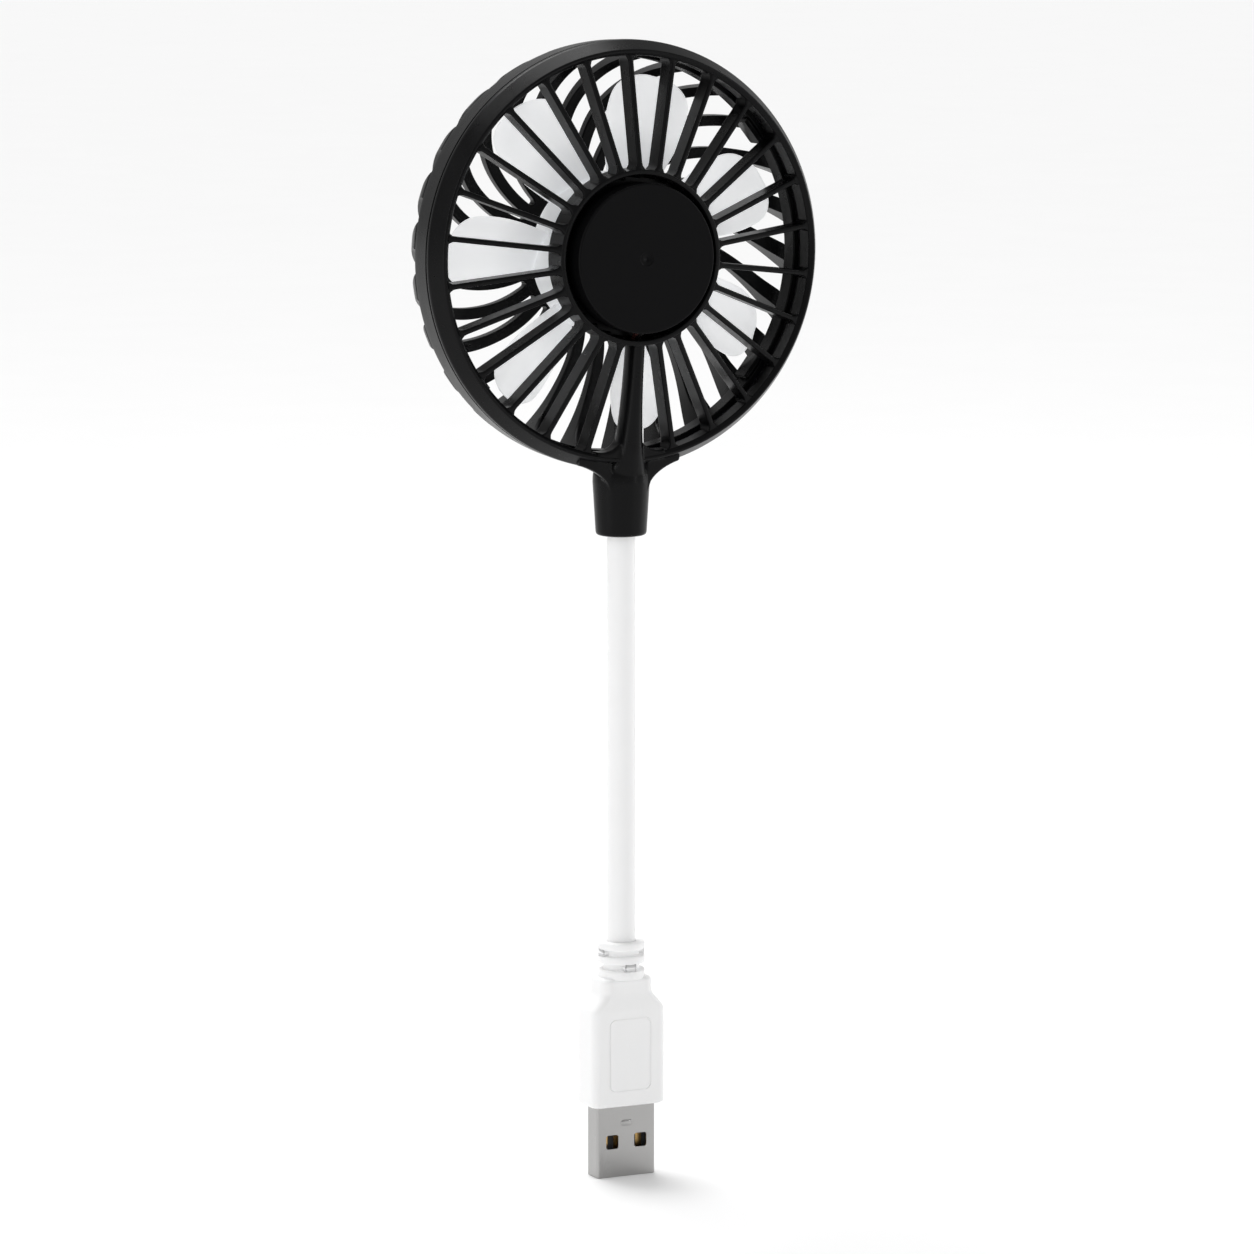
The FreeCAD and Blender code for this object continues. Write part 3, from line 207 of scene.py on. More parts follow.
def even_shading(piece):
    """Large faces keep their own direction and the soft edges take up the turn."""
    weights = piece.modifiers.new("even_shading", "WEIGHTED_NORMAL")
    weights.keep_sharp = True
    weights.weight = 80
    return plain(piece)


# %% [markdown]
# ## One tree that repeats a piece round the fan's axis
# The straight ribs, the swirled ribs, the blades and the small lugs are each one shape, repeated round one axis.
# Copying in a Python loop would work, but a Geometry Nodes tree says it once: a row of points on the axis, an
# instance on each, turned by its number. One place can be left out, which the straight ribs need for the spoke.

# %% Build the repeating tree
def ring_tree():
    tree = bpy.data.node_groups.new("round_the_fan_axis", "GeometryNodeTree")
    face = tree.interface
    face.new_socket("Geometry", in_out="INPUT", socket_type="NodeSocketGeometry")
    face.new_socket("Count", in_out="INPUT", socket_type="NodeSocketInt")
    face.new_socket("First Angle", in_out="INPUT", socket_type="NodeSocketFloat")
    face.new_socket("Axis Height", in_out="INPUT", socket_type="NodeSocketFloat")
    face.new_socket("Left Out", in_out="INPUT", socket_type="NodeSocketInt")
    face.new_socket("Finish", in_out="INPUT", socket_type="NodeSocketMaterial")
    face.new_socket("Geometry", in_out="OUTPUT", socket_type="NodeSocketGeometry")

    def add(kind, **settings):
        made = tree.nodes.new(kind)
        for key, value in settings.items():
            setattr(made, key, value)
        return made

    given, result = add("NodeGroupInput"), add("NodeGroupOutput")
    place, points = add("ShaderNodeCombineXYZ"), add("GeometryNodePoints")
    index, share = add("GeometryNodeInputIndex"), add("ShaderNodeMath", operation="DIVIDE")
    turn, angle = add("ShaderNodeMath", operation="MULTIPLY"), add("ShaderNodeMath", operation="ADD")
    back, spun = add("ShaderNodeMath", operation="MULTIPLY"), add("ShaderNodeCombineXYZ")
    rotation = add("FunctionNodeEulerToRotation")
    keep = add("FunctionNodeCompare", data_type="INT", operation="NOT_EQUAL")
    copies, real = add("GeometryNodeInstanceOnPoints"), add("GeometryNodeRealizeInstances")
    paint = add("GeometryNodeSetMaterial")
    turn.inputs[1].default_value = 2 * math.pi
    back.inputs[1].default_value = -1.0
    links = [(given.outputs["Axis Height"], place.inputs["Z"]), (given.outputs["Count"], points.inputs["Count"]),
             (place.outputs[0], points.inputs["Position"]), (index.outputs[0], share.inputs[0]),
             (given.outputs["Count"], share.inputs[1]), (share.outputs[0], turn.inputs[0]),
             (turn.outputs[0], angle.inputs[0]), (given.outputs["First Angle"], angle.inputs[1]),
             (angle.outputs[0], back.inputs[0]), (back.outputs[0], spun.inputs["Y"]),
             (spun.outputs[0], rotation.inputs[0]), (index.outputs[0], keep.inputs[2]),
             (given.outputs["Left Out"], keep.inputs[3]), (points.outputs[0], copies.inputs["Points"]),
             (keep.outputs[0], copies.inputs["Selection"]), (given.outputs["Geometry"], copies.inputs["Instance"]),
             (rotation.outputs[0], copies.inputs["Rotation"]), (copies.outputs[0], real.inputs[0]),
             (real.outputs[0], paint.inputs["Geometry"]), (given.outputs["Finish"], paint.inputs["Material"]),
             (paint.outputs[0], result.inputs[0])]
    for source, target in links:
        tree.links.new(source, target)
    return tree


RING = ring_tree()
print("ring tree:", len(RING.nodes), "nodes")


# %% Use the repeating tree
def around_fan(one, count, first_degrees, left_out=-1, finish=None):
    """Repeat a piece, modelled round the origin, round the fan's axis, as one plain mesh."""
    ring = one.modifiers.new("ring", "NODES")
    ring.node_group = RING
    values = {"Count": count, "First Angle": math.radians(first_degrees), "Axis Height": AXIS * MM,
              "Left Out": left_out, "Finish": finish}
    for item in RING.interface.items_tree:
        if item.in_out == "INPUT" and item.name in values:
            ring[item.identifier] = values[item.name]
    return plain(one)


# %% [markdown]
# ## Shader maths as Python
# A finish is a few lines of arithmetic on patterns. Node graphs hide that arithmetic in dozens of boxes, so `Wire`
# wraps a socket and lets Python's own operators add the Math nodes.

# %% A socket that Python can reckon with
class Wire:
    def __init__(self, tree, socket):
        self.tree, self.socket = tree, socket

    def reckon(self, operation, first, second):
        maths = self.tree.nodes.new("ShaderNodeMath")
        maths.operation = operation
        for slot, item in zip(maths.inputs, (first, second)):
            if isinstance(item, Wire):
                self.tree.links.new(item.socket, slot)
            else:
                slot.default_value = item
        return Wire(self.tree, maths.outputs[0])

    def __add__(self, other):
        return self.reckon("ADD", self, other)

    def __sub__(self, other):
        return self.reckon("SUBTRACT", self, other)

    def __rsub__(self, other):
        return self.reckon("SUBTRACT", other, self)

    def __mul__(self, other):
        return self.reckon("MULTIPLY", self, other)

    def __pow__(self, other):
        return self.reckon("POWER", self, other)

    __radd__, __rmul__ = __add__, __mul__


# %% A finish under construction
class Finish:
    def __init__(self, name, **constants):
        self.material = bpy.data.materials.new(name)
        self.material.use_nodes = True
        self.tree = self.material.node_tree
        self.shader = self.tree.nodes["Principled BSDF"]
        for label, value in constants.items():
            self.shader.inputs[label.replace("_", " ")].default_value = value
        self.place = self.node("ShaderNodeTexCoord", output="Object")

    def node(self, kind, settings=None, output=0, stops=None, **inputs):
        """Any node: its settings first, then the values or wires of its inputs."""
        made = self.tree.nodes.new(kind)
        for key, value in (settings or {}).items():
            setattr(made, key, value)
        for (spot, colour), element in zip(stops or [], made.color_ramp.elements if stops else []):
            element.position, element.color = spot, (*colour, 1)
        for label, value in inputs.items():
            slot = made.inputs[label.replace("_", " ")]
            if isinstance(value, Wire):
                self.tree.links.new(value.socket, slot)
            else:
                slot.default_value = value
        return Wire(self.tree, made.outputs[output])

    def noise(self, size, detail=3.0, stretch=(1, 1, 1)):
        """Cloudy pattern from 0 to 1 with patches of that size in millimetres, longer where stretched."""
        scale = tuple(1 / (size * MM * s) for s in stretch)
        place = self.node("ShaderNodeMapping", Vector=self.place, Scale=scale)
        return self.node("ShaderNodeTexNoise", Vector=place, Scale=1.0, Detail=detail)

    def between(self, share, low, high):
        """A colour between two, by a pattern."""
        return self.node("ShaderNodeValToRGB", stops=[(0.0, low), (1.0, high)], Fac=share)

    def paint(self, label, wire):
        self.tree.links.new(wire.socket, self.shader.inputs[label])

    def bump(self, height, depth):
        """Raise the surface by a pattern, that many millimetres deep."""
        self.paint("Normal", self.node("ShaderNodeBump", Height=height, Distance=depth * MM, Strength=1.0))


# %% [markdown]
# ## Black mouldings
# The guards are injection-moulded ABS off a finely sparked tool. The satin comes from grain a tenth of a millimetre
# across, and a cloudier roughness at a few millimetres breaks up the reflections so they don't look machined.
# The cap is the same plastic off a duller tool, so it is rougher. Its base colour is also set a touch darker than the
# guards', a painted shade that keeps its flat face darker, and its shine is lower.

# %% Satin and matte black plastic
def moulded_black(name, base, rough, grain, depth, shine):
    finish = Finish(name, IOR=1.5, Specular_IOR_Level=shine)
    cloud = finish.noise(7.0, 4.0)
    speck = finish.noise(grain, 2.0)
    handled = finish.noise(1.6, 5.0) * cloud
    finish.paint("Base Color", finish.between(cloud * 0.7 + speck * 0.3, base, tuple(c * 1.7 for c in base)))
    finish.paint("Roughness", cloud * 0.12 + handled * 0.10 + (rough - 0.10))
    finish.bump(speck + finish.noise(3.0, 2.0) * 0.6, depth)
    return finish.material


GUARD_BLACK = moulded_black("guard_black", (0.0022, 0.0022, 0.0024), 0.30, 0.16, 0.008, 0.10)
# The cap's copy of the black has a slightly darker base colour: painted shade on the same plastic as the guards.
CAP_BLACK_PAINTED_SHADE = moulded_black("cap_black", (0.0020, 0.0020, 0.0022), 0.44, 0.12, 0.008, 0.06)


# %% [markdown]
# ## White and milky plastics
# The arm's jacket is soft extruded PVC: faint lines run along it from the die. The grip is the same stuff moulded,
# so its lines are no longer than they are wide. The blades are thin unfilled plastic, milky because light scatters
# inside them, so they get subsurface scattering rather than a white paint. Light from behind also comes through
# them, which a closed mesh won't show in so small a head, so a painted glow in the emission colour stands for it.
# Their base colour and painted glow are both darker towards the hub, a painted shade where the blades meet the cup.

# %% Soft white plastic
def soft_white(name, along, base=(0.93, 0.93, 0.93)):
    finish = Finish(name, IOR=1.5, Subsurface_Weight=0.12, Subsurface_Radius=(1.0, 0.95, 0.9),
                    Subsurface_Scale=0.8 * MM, Specular_IOR_Level=0.45)
    cloud, speck = finish.noise(9.0, 3.0), finish.noise(0.22, 2.0)
    lines = finish.noise(0.35, 2.0, stretch=(1, 1, along))
    finish.paint("Base Color", finish.between(cloud * 0.8 + speck * 0.2, tuple(c * 0.97 for c in base), base))
    finish.paint("Roughness", 0.34 + cloud * 0.10 + lines * 0.06)
    finish.bump(lines * 0.7 + speck * 0.3, 0.012)
    return finish.material


JACKET_WHITE = soft_white("jacket_white", 30)
GRIP_WHITE = soft_white("grip_white", 1)


# %% Milky blades
def milky():
    # The emission is a painted glow: the blades give off light as if lit from behind, though they are no lamp.
    finish = Finish("blade_milky", IOR=1.5, Subsurface_Weight=0.4, Subsurface_Radius=(1.0, 1.0, 1.05),
                    Subsurface_Scale=2.0 * MM, Specular_IOR_Level=0.4, Emission_Strength=0.5)
    flow, speck = finish.noise(8.0, 3.0), finish.noise(0.3, 2.0)
    centre = finish.node("ShaderNodeMapping", Vector=finish.place, Location=(0, 0, -AXIS * MM))
    flat = finish.node("ShaderNodeVectorMath", {"operation": "MULTIPLY"}, Vector=centre)
    flat.socket.node.inputs[1].default_value = (1, 0, 1)
    radius = finish.node("ShaderNodeVectorMath", {"operation": "LENGTH"}, output="Value", Vector=flat)
    # Painted shade: this mask is 0 at 14 mm from the axis and 1 at 24 mm, so the blades are darker near the hub.
    outward = finish.node("ShaderNodeMapRange", Value=radius, From_Min=14 * MM, From_Max=24 * MM)
    shade = outward * 0.8 + flow * 0.2
    # The base colour is a painted shade: grey at the hub, white towards the tips, with a little random flow.
    finish.paint("Base Color", finish.between(shade, (0.70, 0.71, 0.72), (0.93, 0.935, 0.94)))
    # Painted glow: the emission colour, dim at the hub and white towards the tips.
    finish.paint("Emission Color", finish.between(shade, (0.42, 0.43, 0.44), (0.96, 0.97, 0.98)))
    finish.paint("Roughness", 0.30 + flow * 0.12)
    finish.bump(flow * 0.6 + speck * 0.2, 0.015)
    return finish.material


BLADE_MILKY_PAINTED_GLOW = milky()


# %% [markdown]
# ## Metals
# The plug's shell is folded nickel-plated steel: fine lines along the roll and a soft cloud of handling. The motor's
# inner pieces are zinc, ferrite, bronze and enamelled copper. They show only through gaps, but each has its own grain.

# %% Metal finishes
def metal(name, base, rough, grain, stretch, depth=0.003, metallic=1.0):
    finish = Finish(name, Metallic=metallic)
    cloud = finish.noise(3.5, 5.0)
    lines = finish.noise(grain, 2.0, stretch=stretch)
    finish.paint("Base Color", finish.between(cloud * 0.5 + lines * 0.5, tuple(c * 0.88 for c in base), base))
    finish.paint("Roughness", rough + cloud * 0.10 + lines * 0.08)
    finish.bump(lines, depth)
    return finish.material


SHELL_NICKEL = metal("shell_nickel", (0.42, 0.415, 0.41), 0.16, 0.05, (1, 1, 60))
CONTACT_GOLD = metal("contact_gold", (0.80, 0.52, 0.20), 0.22, 0.05, (1, 1, 30))
MOTOR_ZINC = metal("motor_zinc", (0.60, 0.60, 0.58), 0.28, 0.08, (1, 20, 1))
CORE_STEEL = metal("core_steel", (0.40, 0.39, 0.38), 0.35, 0.06, (1, 1, 40))
BRONZE = metal("bronze", (0.50, 0.31, 0.15), 0.42, 0.10, (1, 1, 1), 0.010)
FERRITE = metal("ferrite", (0.055, 0.055, 0.060), 0.50, 0.08, (1, 1, 1), 0.010, 0.3)


# %% Copper wound in turns
def wound_copper():
    finish = Finish("wound_copper", Metallic=1.0)
    turns = finish.node("ShaderNodeTexWave", {"bands_direction": "X"}, Vector=finish.place, Scale=1 / (1.1 * MM))
    cloud = finish.noise(1.5, 3.0)
    finish.paint("Base Color", finish.between(turns * 0.7 + cloud * 0.3, (0.25, 0.08, 0.03), (0.72, 0.30, 0.13)))
    finish.paint("Roughness", 0.25 + cloud * 0.15)
    finish.bump(turns, 0.05)
    return finish.material


COPPER = wound_copper()


# %% Small plastic parts inside
def inside_plastic(name, base, rough=0.5):
    finish = Finish(name, IOR=1.5)
    cloud, speck = finish.noise(4.0, 3.0), finish.noise(0.2, 2.0)
    finish.paint("Base Color", finish.between(cloud, tuple(c * 0.85 for c in base), base))
    finish.paint("Roughness", rough + cloud * 0.12)
    finish.bump(speck, 0.008)
    return finish.material


CARRIER = inside_plastic("carrier_plastic", (0.085, 0.085, 0.09))
INNER_WHITE = inside_plastic("inner_white", (0.72, 0.72, 0.70))
WIRE_RED = inside_plastic("wire_red", (0.030, 0.005, 0.004), 0.5)
WIRE_BLACK = inside_plastic("wire_black", (0.02, 0.02, 0.02), 0.35)
CONDUCTOR_BLACK = WIRE_BLACK.copy()
print("finishes:", len(bpy.data.materials))


# %% [markdown]
# ## The motor guard
# One moulding in the real fan: rim, straight ribs, hub and the stem that holds the arm. The rim and hub are turned
# outlines. Each rib is a thin bar whose two ends widen where they run into the rings, as a mould cutter leaves them.

# %% Rim of the motor guard
RIM_FRONT, BROW_FRONT, PARTING_FRONT, SPIGOT_BACK = -5.0, -1.6, -0.8, 0.6


def guard_rim():
    crest, inside, spigot = RIM_RADIUS - 1.9, RIM_RADIUS - 2.8, RIM_RADIUS - 1.3
    return turned("rim", [(RIM_FRONT + 0.8, inside, 0.35), (RIM_FRONT, crest, 0.6), (BROW_FRONT, RIM_RADIUS, 2.0),
                          (PARTING_FRONT, RIM_RADIUS, 0.12), (PARTING_FRONT, spigot, 0), (SPIGOT_BACK, spigot, 0.15),
                          (SPIGOT_BACK, spigot - 1.2, 0.15), (-1.0, inside, 0.3)], "fan", 224, 5)


# %% Hub of the motor guard
COLLAR_RADIUS = 16.1
COLLAR_FRONT = 8.6


def guard_hub():
    collar_in = COLLAR_RADIUS - 1.0
    return turned("hub", [(-COLLAR_FRONT, COLLAR_RADIUS, 0.28), (-COLLAR_FRONT, collar_in, 0.28),
                          (-4.5, collar_in, 0.2), (-4.5, 12.25, 0.2), (-8.2, 12.25, 0.25), (-8.2, 11.25, 0.25),
                          (4.0, 11.25, 0), (4.0, 5.2, 0), (5.0, 5.2, 0.2), (5.0, 12.25, 0.4), (-3.3, 12.25, 0.2),
                          (-3.3, collar_in, 0.2), (-2.7, collar_in, 0.15), (-2.7, COLLAR_RADIUS, 0.3)], "fan", 192, 4)


# %% A bar's rounded section
def bar_section(wide, deep, rounding):
    """Points of a rounded rectangle, centred, as (across, along)."""
    w, d = wide / 2, deep / 2
    return soften([(-w, -d, rounding), (w, -d, rounding), (w, d, rounding), (-w, d, rounding)], 4)


# %% One straight rib
RIB_PLACES = 26


def straight_rib():
    """From the collar out to the rim, along +X. Its front slopes back towards the rim."""
    near, far = COLLAR_RADIUS - 0.4, RIM_RADIUS - 2.5
    flare, sections = 1.1, []
    for step in range(29):
        share = (1 - math.cos(math.pi * step / 28)) / 2
        radius = near + (far - near) * share
        front = -COLLAR_FRONT + 0.12 + (COLLAR_FRONT - 4.3) * share
        from_end = min(radius - near - 0.4, far - 0.3 - radius)
        spread = max(0.0, 1 - max(from_end, 0.0) / flare) ** 2
        wide, deep = 1.0 + 1.2 * spread, 4.4
        sections.append([(radius, front + deep / 2 + v, u) for u, v in bar_section(wide, deep, 0.42)])
    return lofted("straight_rib", sections)


# %% Lugs that centre the cap
CAP_LUGS, LUG_START = 30, 6


def cap_lug():
    inner = COLLAR_RADIUS - 1.6
    sections = [[(radius, -5.9 + v, u) for u, v in bar_section(0.6, 3.4, 0.15)] for radius in (inner, inner + 0.8)]
    return lofted("cap_lug", sections)


# %% [markdown]
# The stem is the one free-form part of the guard: a round neck that spreads into the rim through two hollow gussets,
# and a spoke that climbs in front of the rim to the hub. Subdivision would need a clean cage round every meeting.
# Instead its bars are joined by a fine voxel remesh and then smoothed, which rounds each inner corner like a fillet.

# %% Bars of the stem
def oval_bar(name, stations, count=28):
    """A bar through oval sections (x, y, z, half width, half depth), stacked upwards."""
    sections = []
    for x, y, z, half_wide, half_deep in stations:
        angles = [2 * math.pi * k / count for k in range(count)]
        sections.append([(x + half_wide * math.cos(a), y + half_deep * math.sin(a), z) for a in angles])
    return lofted(name, sections)


def rim_low(x, radius):
    return AXIS - math.sqrt(radius * radius - x * x)


def stem_spoke():
    root, tip = rim_low(0, RIM_RADIUS - 2.8), AXIS - COLLAR_RADIUS + 0.6
    stations = [(0, 0, root - 6.5, 4.9, 4.9), (0, -0.9, root - 3.2, 4.3, 4.4), (0, -2.0, root - 1.0, 3.4, 3.8)]
    for step in range(13):
        share = step / 12
        fall = (1 - share) ** 2.5
        stations.append((0, -3.0 - 2.9 * share, root + 0.6 + (tip - root - 0.6) * share, 1.55 + 1.1 * fall,
                         3.2 - 0.5 * share))
    return oval_bar("spoke", stations)


def stem_flare(side, inner, reach, rise, front, back, outward):
    """A hollow-sided web between an upright and the rim, made of upright slices."""
    sections = []
    for step in range(9):
        share = step / 8
        x = inner + reach * share
        curve = rise * (1 - math.sqrt(max(0.0, 1 - (1 - share) ** 2))) + 0.5
        base = rim_low(x, RIM_RADIUS - 1.4)
        top, bottom = (base + 0.4, base - 1.0 - curve) if outward else (base + 1.2 + curve, base)
        middle, deep = (front + back) / 2, back - front
        centre, tall = (top + bottom) / 2, top - bottom
        section = bar_section(deep, tall, 0.5)
        sections.append([(side * x, middle + u, centre + v) for u, v in section])
    return lofted("flare", sections)


# %% Melt the bars into one moulding
def guard_stem():
    neck_top = NECK_FOOT + 10
    neck = turned("neck", [(NECK_FOOT, 0.001, 0), (NECK_FOOT, 4.7, 0.6), (neck_top, 5.3, 2),
                           (neck_top + 2.2, 5.2, 1.2), (neck_top + 2.2, 0.001, 0)], "arm", 64)
    parts = [neck, stem_spoke()]
    for side in (-1, 1):
        parts.append(stem_flare(side, 3.6, 6.6, 4.6, -3.8, -1.9, outward=True))
        parts.append(stem_flare(side, 1.4, 5.4, 4.4, -4.6, -0.8, outward=False))
    stem = joined("stem", parts)
    melt = stem.modifiers.new("melt", "REMESH")
    melt.mode, melt.voxel_size, melt.use_smooth_shade = "VOXEL", 0.20 * MM, True
    relax = stem.modifiers.new("relax", "SMOOTH")
    relax.factor, relax.iterations = 0.5, 7
    return plain(stem)


# %% Put the motor guard together
def motor_guard():
    ribs = around_fan(straight_rib(), RIB_PLACES, -90, left_out=0, finish=GUARD_BLACK)
    lugs = around_fan(cap_lug(), CAP_LUGS, LUG_START, finish=GUARD_BLACK)
    return even_shading(joined("motor_guard_moulding", [guard_rim(), guard_hub(), ribs, lugs]))


def keep(piece, body, slot, material, *replaced):
    """Give a finished piece its finish, its body and the CAD nodes it stands for."""
    piece.data.materials.clear()
    piece.data.materials.append(material)
    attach(piece, body)
    if replaced:
        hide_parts(*replaced)
    print("%s: %d faces on %s" % (piece.name, len(piece.data.polygons), body))
    return piece


keep(motor_guard(), "head", "guard_plastic", GUARD_BLACK, "motor_guard")
stem = guard_stem()
stem.name = "motor_guard_stem"
keep(stem, "head", "guard_plastic", GUARD_BLACK, "motor_guard")


# %% [markdown]
# ## The hub cap
# A plain disc with a short skirt. All it shows is the soft line of light round its edge and the shallow dimple
# where the plastic entered the mould, so a turned outline with those two radii is the whole shape.

# %% Turn the cap
def hub_cap():
    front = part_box("hub_cap")[0].y / MM
    return turned("hub_cap_disc", [(front + 0.12, 0.001, 0), (front + 0.12, 1.2, 0.08), (front, 1.35, 0.08),
                                   (front, 13.7, 0.42), (front + 4.6, 13.7, 0.15), (front + 4.6, 12.5, 0.1),
                                   (front + 1.4, 12.5, 0.2), (front + 1.4, 0.001, 0)], "fan", 192, 6)


keep(even_shading(hub_cap()), "head", "cap_plastic", CAP_BLACK_PAINTED_SHADE, "hub_cap")


# %% [markdown]
# ## The swirl guard
# A domed cover of 26 ribs. Seen along the axis each rib is an arc that leaves the middle disc radially and bends
# away, and the slots between them have round ends. So the rib is described in polar form: at each radius, two
# angles and two depths. Near the ends of a slot the rib widens until it meets its neighbour, which draws the round end.

# %% Where an arc that leaves the disc radially meets a circle
SWIRL_DISC, SWIRL_BEND, SWIRL_RIB, SWIRL_START = 13.0, 22.0, 2.1, 7.1
SLOT_IN, SLOT_SQUARE, SLOT_OUT = 13.5, 37.6, 39.7
SLOT_FRONT, DOME_BACK, DOME_WALL, DOME_ROUND = 5.0, 19.0, 2.2, 16.0
DOME_RADIUS, DRUM_INSIDE = RIM_RADIUS - 0.2, 36.1


def swirl_angle(bend, radius):
    span = math.hypot(SWIRL_DISC, SWIRL_BEND)
    along = (radius * radius - bend * bend + span * span) / (2 * span)
    aside = math.sqrt(max(0.0, radius * radius - along * along))
    x = (along * SWIRL_DISC + aside * SWIRL_BEND) / span
    z = (-along * SWIRL_BEND + aside * SWIRL_DISC) / span
    return math.atan2(z, x)


# %% The dome's outline, outside or inside, from the drum up over the shoulder to the back
DOME_OUTSIDE = soften([(-20, DOME_RADIUS, 0), (DOME_BACK, DOME_RADIUS, DOME_ROUND), (DOME_BACK, 0, 0)], 60)
DOME_INSIDE = soften([(-20, DRUM_INSIDE, 0), (DOME_BACK - DOME_WALL, DRUM_INSIDE, DOME_ROUND - DOME_WALL),
                      (DOME_BACK - DOME_WALL, 0, 0)], 60)


def dome_depth(radius, outline=DOME_OUTSIDE):
    """How far back the dome's surface is at a radius."""
    for low, high in zip(outline, outline[1:]):
        if high.y <= radius <= low.y and low.y > high.y:
            return low.x + (high.x - low.x) * (low.y - radius) / (low.y - high.y)
    return 0.0


# %% One swirled rib
def rib_edges(radius):
    """The two angles of a rib at a radius. They part where a slot ends."""
    pitch = 2 * math.pi / RIB_PLACES
    low = swirl_angle(SWIRL_BEND - SWIRL_RIB / 2, radius)
    high = swirl_angle(SWIRL_BEND + SWIRL_RIB / 2, radius)
    past = max((SLOT_IN - radius) / 0.6, (radius - SLOT_SQUARE) / (SLOT_OUT - SLOT_SQUARE), 0.0)
    gap = (pitch - (high - low)) / 2 * (1 - math.sqrt(max(0.0, 1 - min(past, 1.0) ** 2)))
    return low - gap, high + gap, math.sqrt(max(0.0, 1 - min(past, 1.0) ** 2))


def rib_section(radius):
    low, high, openness = rib_edges(radius)
    back = dome_depth(radius)
    under = min(max(dome_depth(radius, DOME_INSIDE), SLOT_FRONT - 0.1), back - 0.1)
    wide, deep = (high - low) * radius, back - under
    rounding = 0.42 * openness + 0.004
    w, d = wide / 2, deep / 2
    rim = soften([(-w, d, rounding), (-w * 0.5, d, 0), (0, d, 0), (w * 0.5, d, 0), (w, d, rounding),
                  (w, -d, rounding), (0, -d, 0), (-w, -d, rounding)], 4)
    middle = (low + high) / 2
    angles = [(middle + u / radius, (back + under) / 2 + v) for u, v in rim]
    return [(radius * math.cos(angle), y, radius * math.sin(angle)) for angle, y in angles]


def swirl_rib():
    inner = [SLOT_IN - 0.6 + 0.6 * share for share in (0, 0.03, 0.15, 0.4, 0.7, 1)]
    middle = [SLOT_IN + 0.6 + (SLOT_SQUARE - SLOT_IN - 0.6) * k / 34 for k in range(35)]
    outer = [SLOT_SQUARE + 1.4 * k / 8 for k in range(1, 9)]
    return lofted("swirl_rib", [rib_section(radius) for radius in inner + middle + outer])


# %% Drum and middle disc
def swirl_drum():
    skirt = RIM_RADIUS - 1.1
    return turned("drum", [(-0.4, RIM_RADIUS, 0.12), (3.0, DOME_RADIUS, 0), (4.1, RIM_RADIUS - 0.23, 0),
                           (SLOT_FRONT, RIM_RADIUS - 0.33, 0.04), (SLOT_FRONT, 36.5, 0.1), (4.7, DRUM_INSIDE, 0.2),
                           (0.9, DRUM_INSIDE, 0.25), (0.9, skirt, 0), (-0.4, skirt, 0.1)], "fan", 312, 4)


def swirl_disc():
    edge, front = SLOT_IN - 0.6, DOME_BACK - DOME_WALL
    return turned("disc", [(DOME_BACK, 0.001, 0), (DOME_BACK, edge, 0.02), (front, edge, 0.2), (front, 0.001, 0)],
                  "fan", 208, 3)


# %% Put the swirl guard together
KEEPER_ANGLES = (38, 142, 218, 322)


def snap_keeper(angle):
    sections = [[(radius, 3.0 + v, u) for u, v in bar_section(5.2, 3.9, 0.3)] for radius in (34.9, 36.6)]
    return around_fan(lofted("snap_keeper", sections), 1, angle, finish=GUARD_BLACK)


def swirl_guard():
    ribs = around_fan(swirl_rib(), RIB_PLACES, SWIRL_START, finish=GUARD_BLACK)
    keepers = [snap_keeper(angle) for angle in KEEPER_ANGLES]
    return even_shading(joined("swirl_guard_moulding", [ribs, swirl_drum(), swirl_disc()] + keepers))


keep(swirl_guard(), "head", "guard_plastic", GUARD_BLACK, "swirl_guard")


# %% [markdown]
# ## The impeller
# Seven cambered blades on a cup that turns round the motor. A blade is a row of thin sections that untwist towards
# the tip. Its outline is a formula: it widens along a sine, and a rounded-off end brings it to nothing at the tip.

# %% One blade
BLADES, BLADE_START = 7, 23
BLADE_ROOT, BLADE_TIP, BLADE_MIDDLE = 14.3, 33.4, 3.8


def blade_section(share):
    swell = 9.5 + 5.2 * math.sin(math.pi / 2 * min(share / 0.62, 1.0))
    tip = math.sqrt(max(0.0, 1 - (max(share - 0.62, 0.0) / 0.385) ** 3))
    chord, tilt = swell * tip, math.radians(40 - 20 * share ** 0.8)
    thick, radius = 1.3 * (1 - 0.55 * share), BLADE_ROOT + (BLADE_TIP - BLADE_ROOT) * share
    half, count, rim = chord / 2, 18, []
    for k in range(count * 2):
        angle = math.pi * k / count
        along = half * math.copysign(abs(math.cos(angle)) ** 0.8, math.cos(angle))
        off = thick / 2 * math.copysign(abs(math.sin(angle)) ** 0.7, math.sin(angle)) * (1 - 0.35 * (along / half) ** 4)
        camber = chord * 0.07 * (1 - (along / half) ** 2)
        rim.append((along, off + camber))
    return [(radius, BLADE_MIDDLE + a * math.sin(tilt) + o * math.cos(tilt),
             a * math.cos(tilt) - o * math.sin(tilt)) for a, o in rim]


def blade():
    shares = [math.sin(math.pi / 2 * k / 30) for k in range(31)]
    return lofted("blade", [blade_section(min(share, 0.998)) for share in shares])


# %% Cup and blades
def impeller():
    cup = turned("cup", [(-2.0, 15.0, 0.35), (-2.0, 13.8, 0.35), (6.2, 13.8, 0.5), (6.2, 2.6, 0.3), (5.3, 2.6, 0.1),
                         (5.3, 1.05, 0), (6.8, 1.05, 0), (6.8, 0.001, 0), (7.4, 0.001, 0), (7.4, 15.0, 1.0)],
                 "fan", 160, 4)
    blades = around_fan(blade(), BLADES, BLADE_START, finish=BLADE_MILKY_PAINTED_GLOW)
    return even_shading(joined("impeller_moulding", [cup, blades]))


keep(impeller(), "rotor", "impeller_plastic", BLADE_MILKY_PAINTED_GLOW, "impeller")
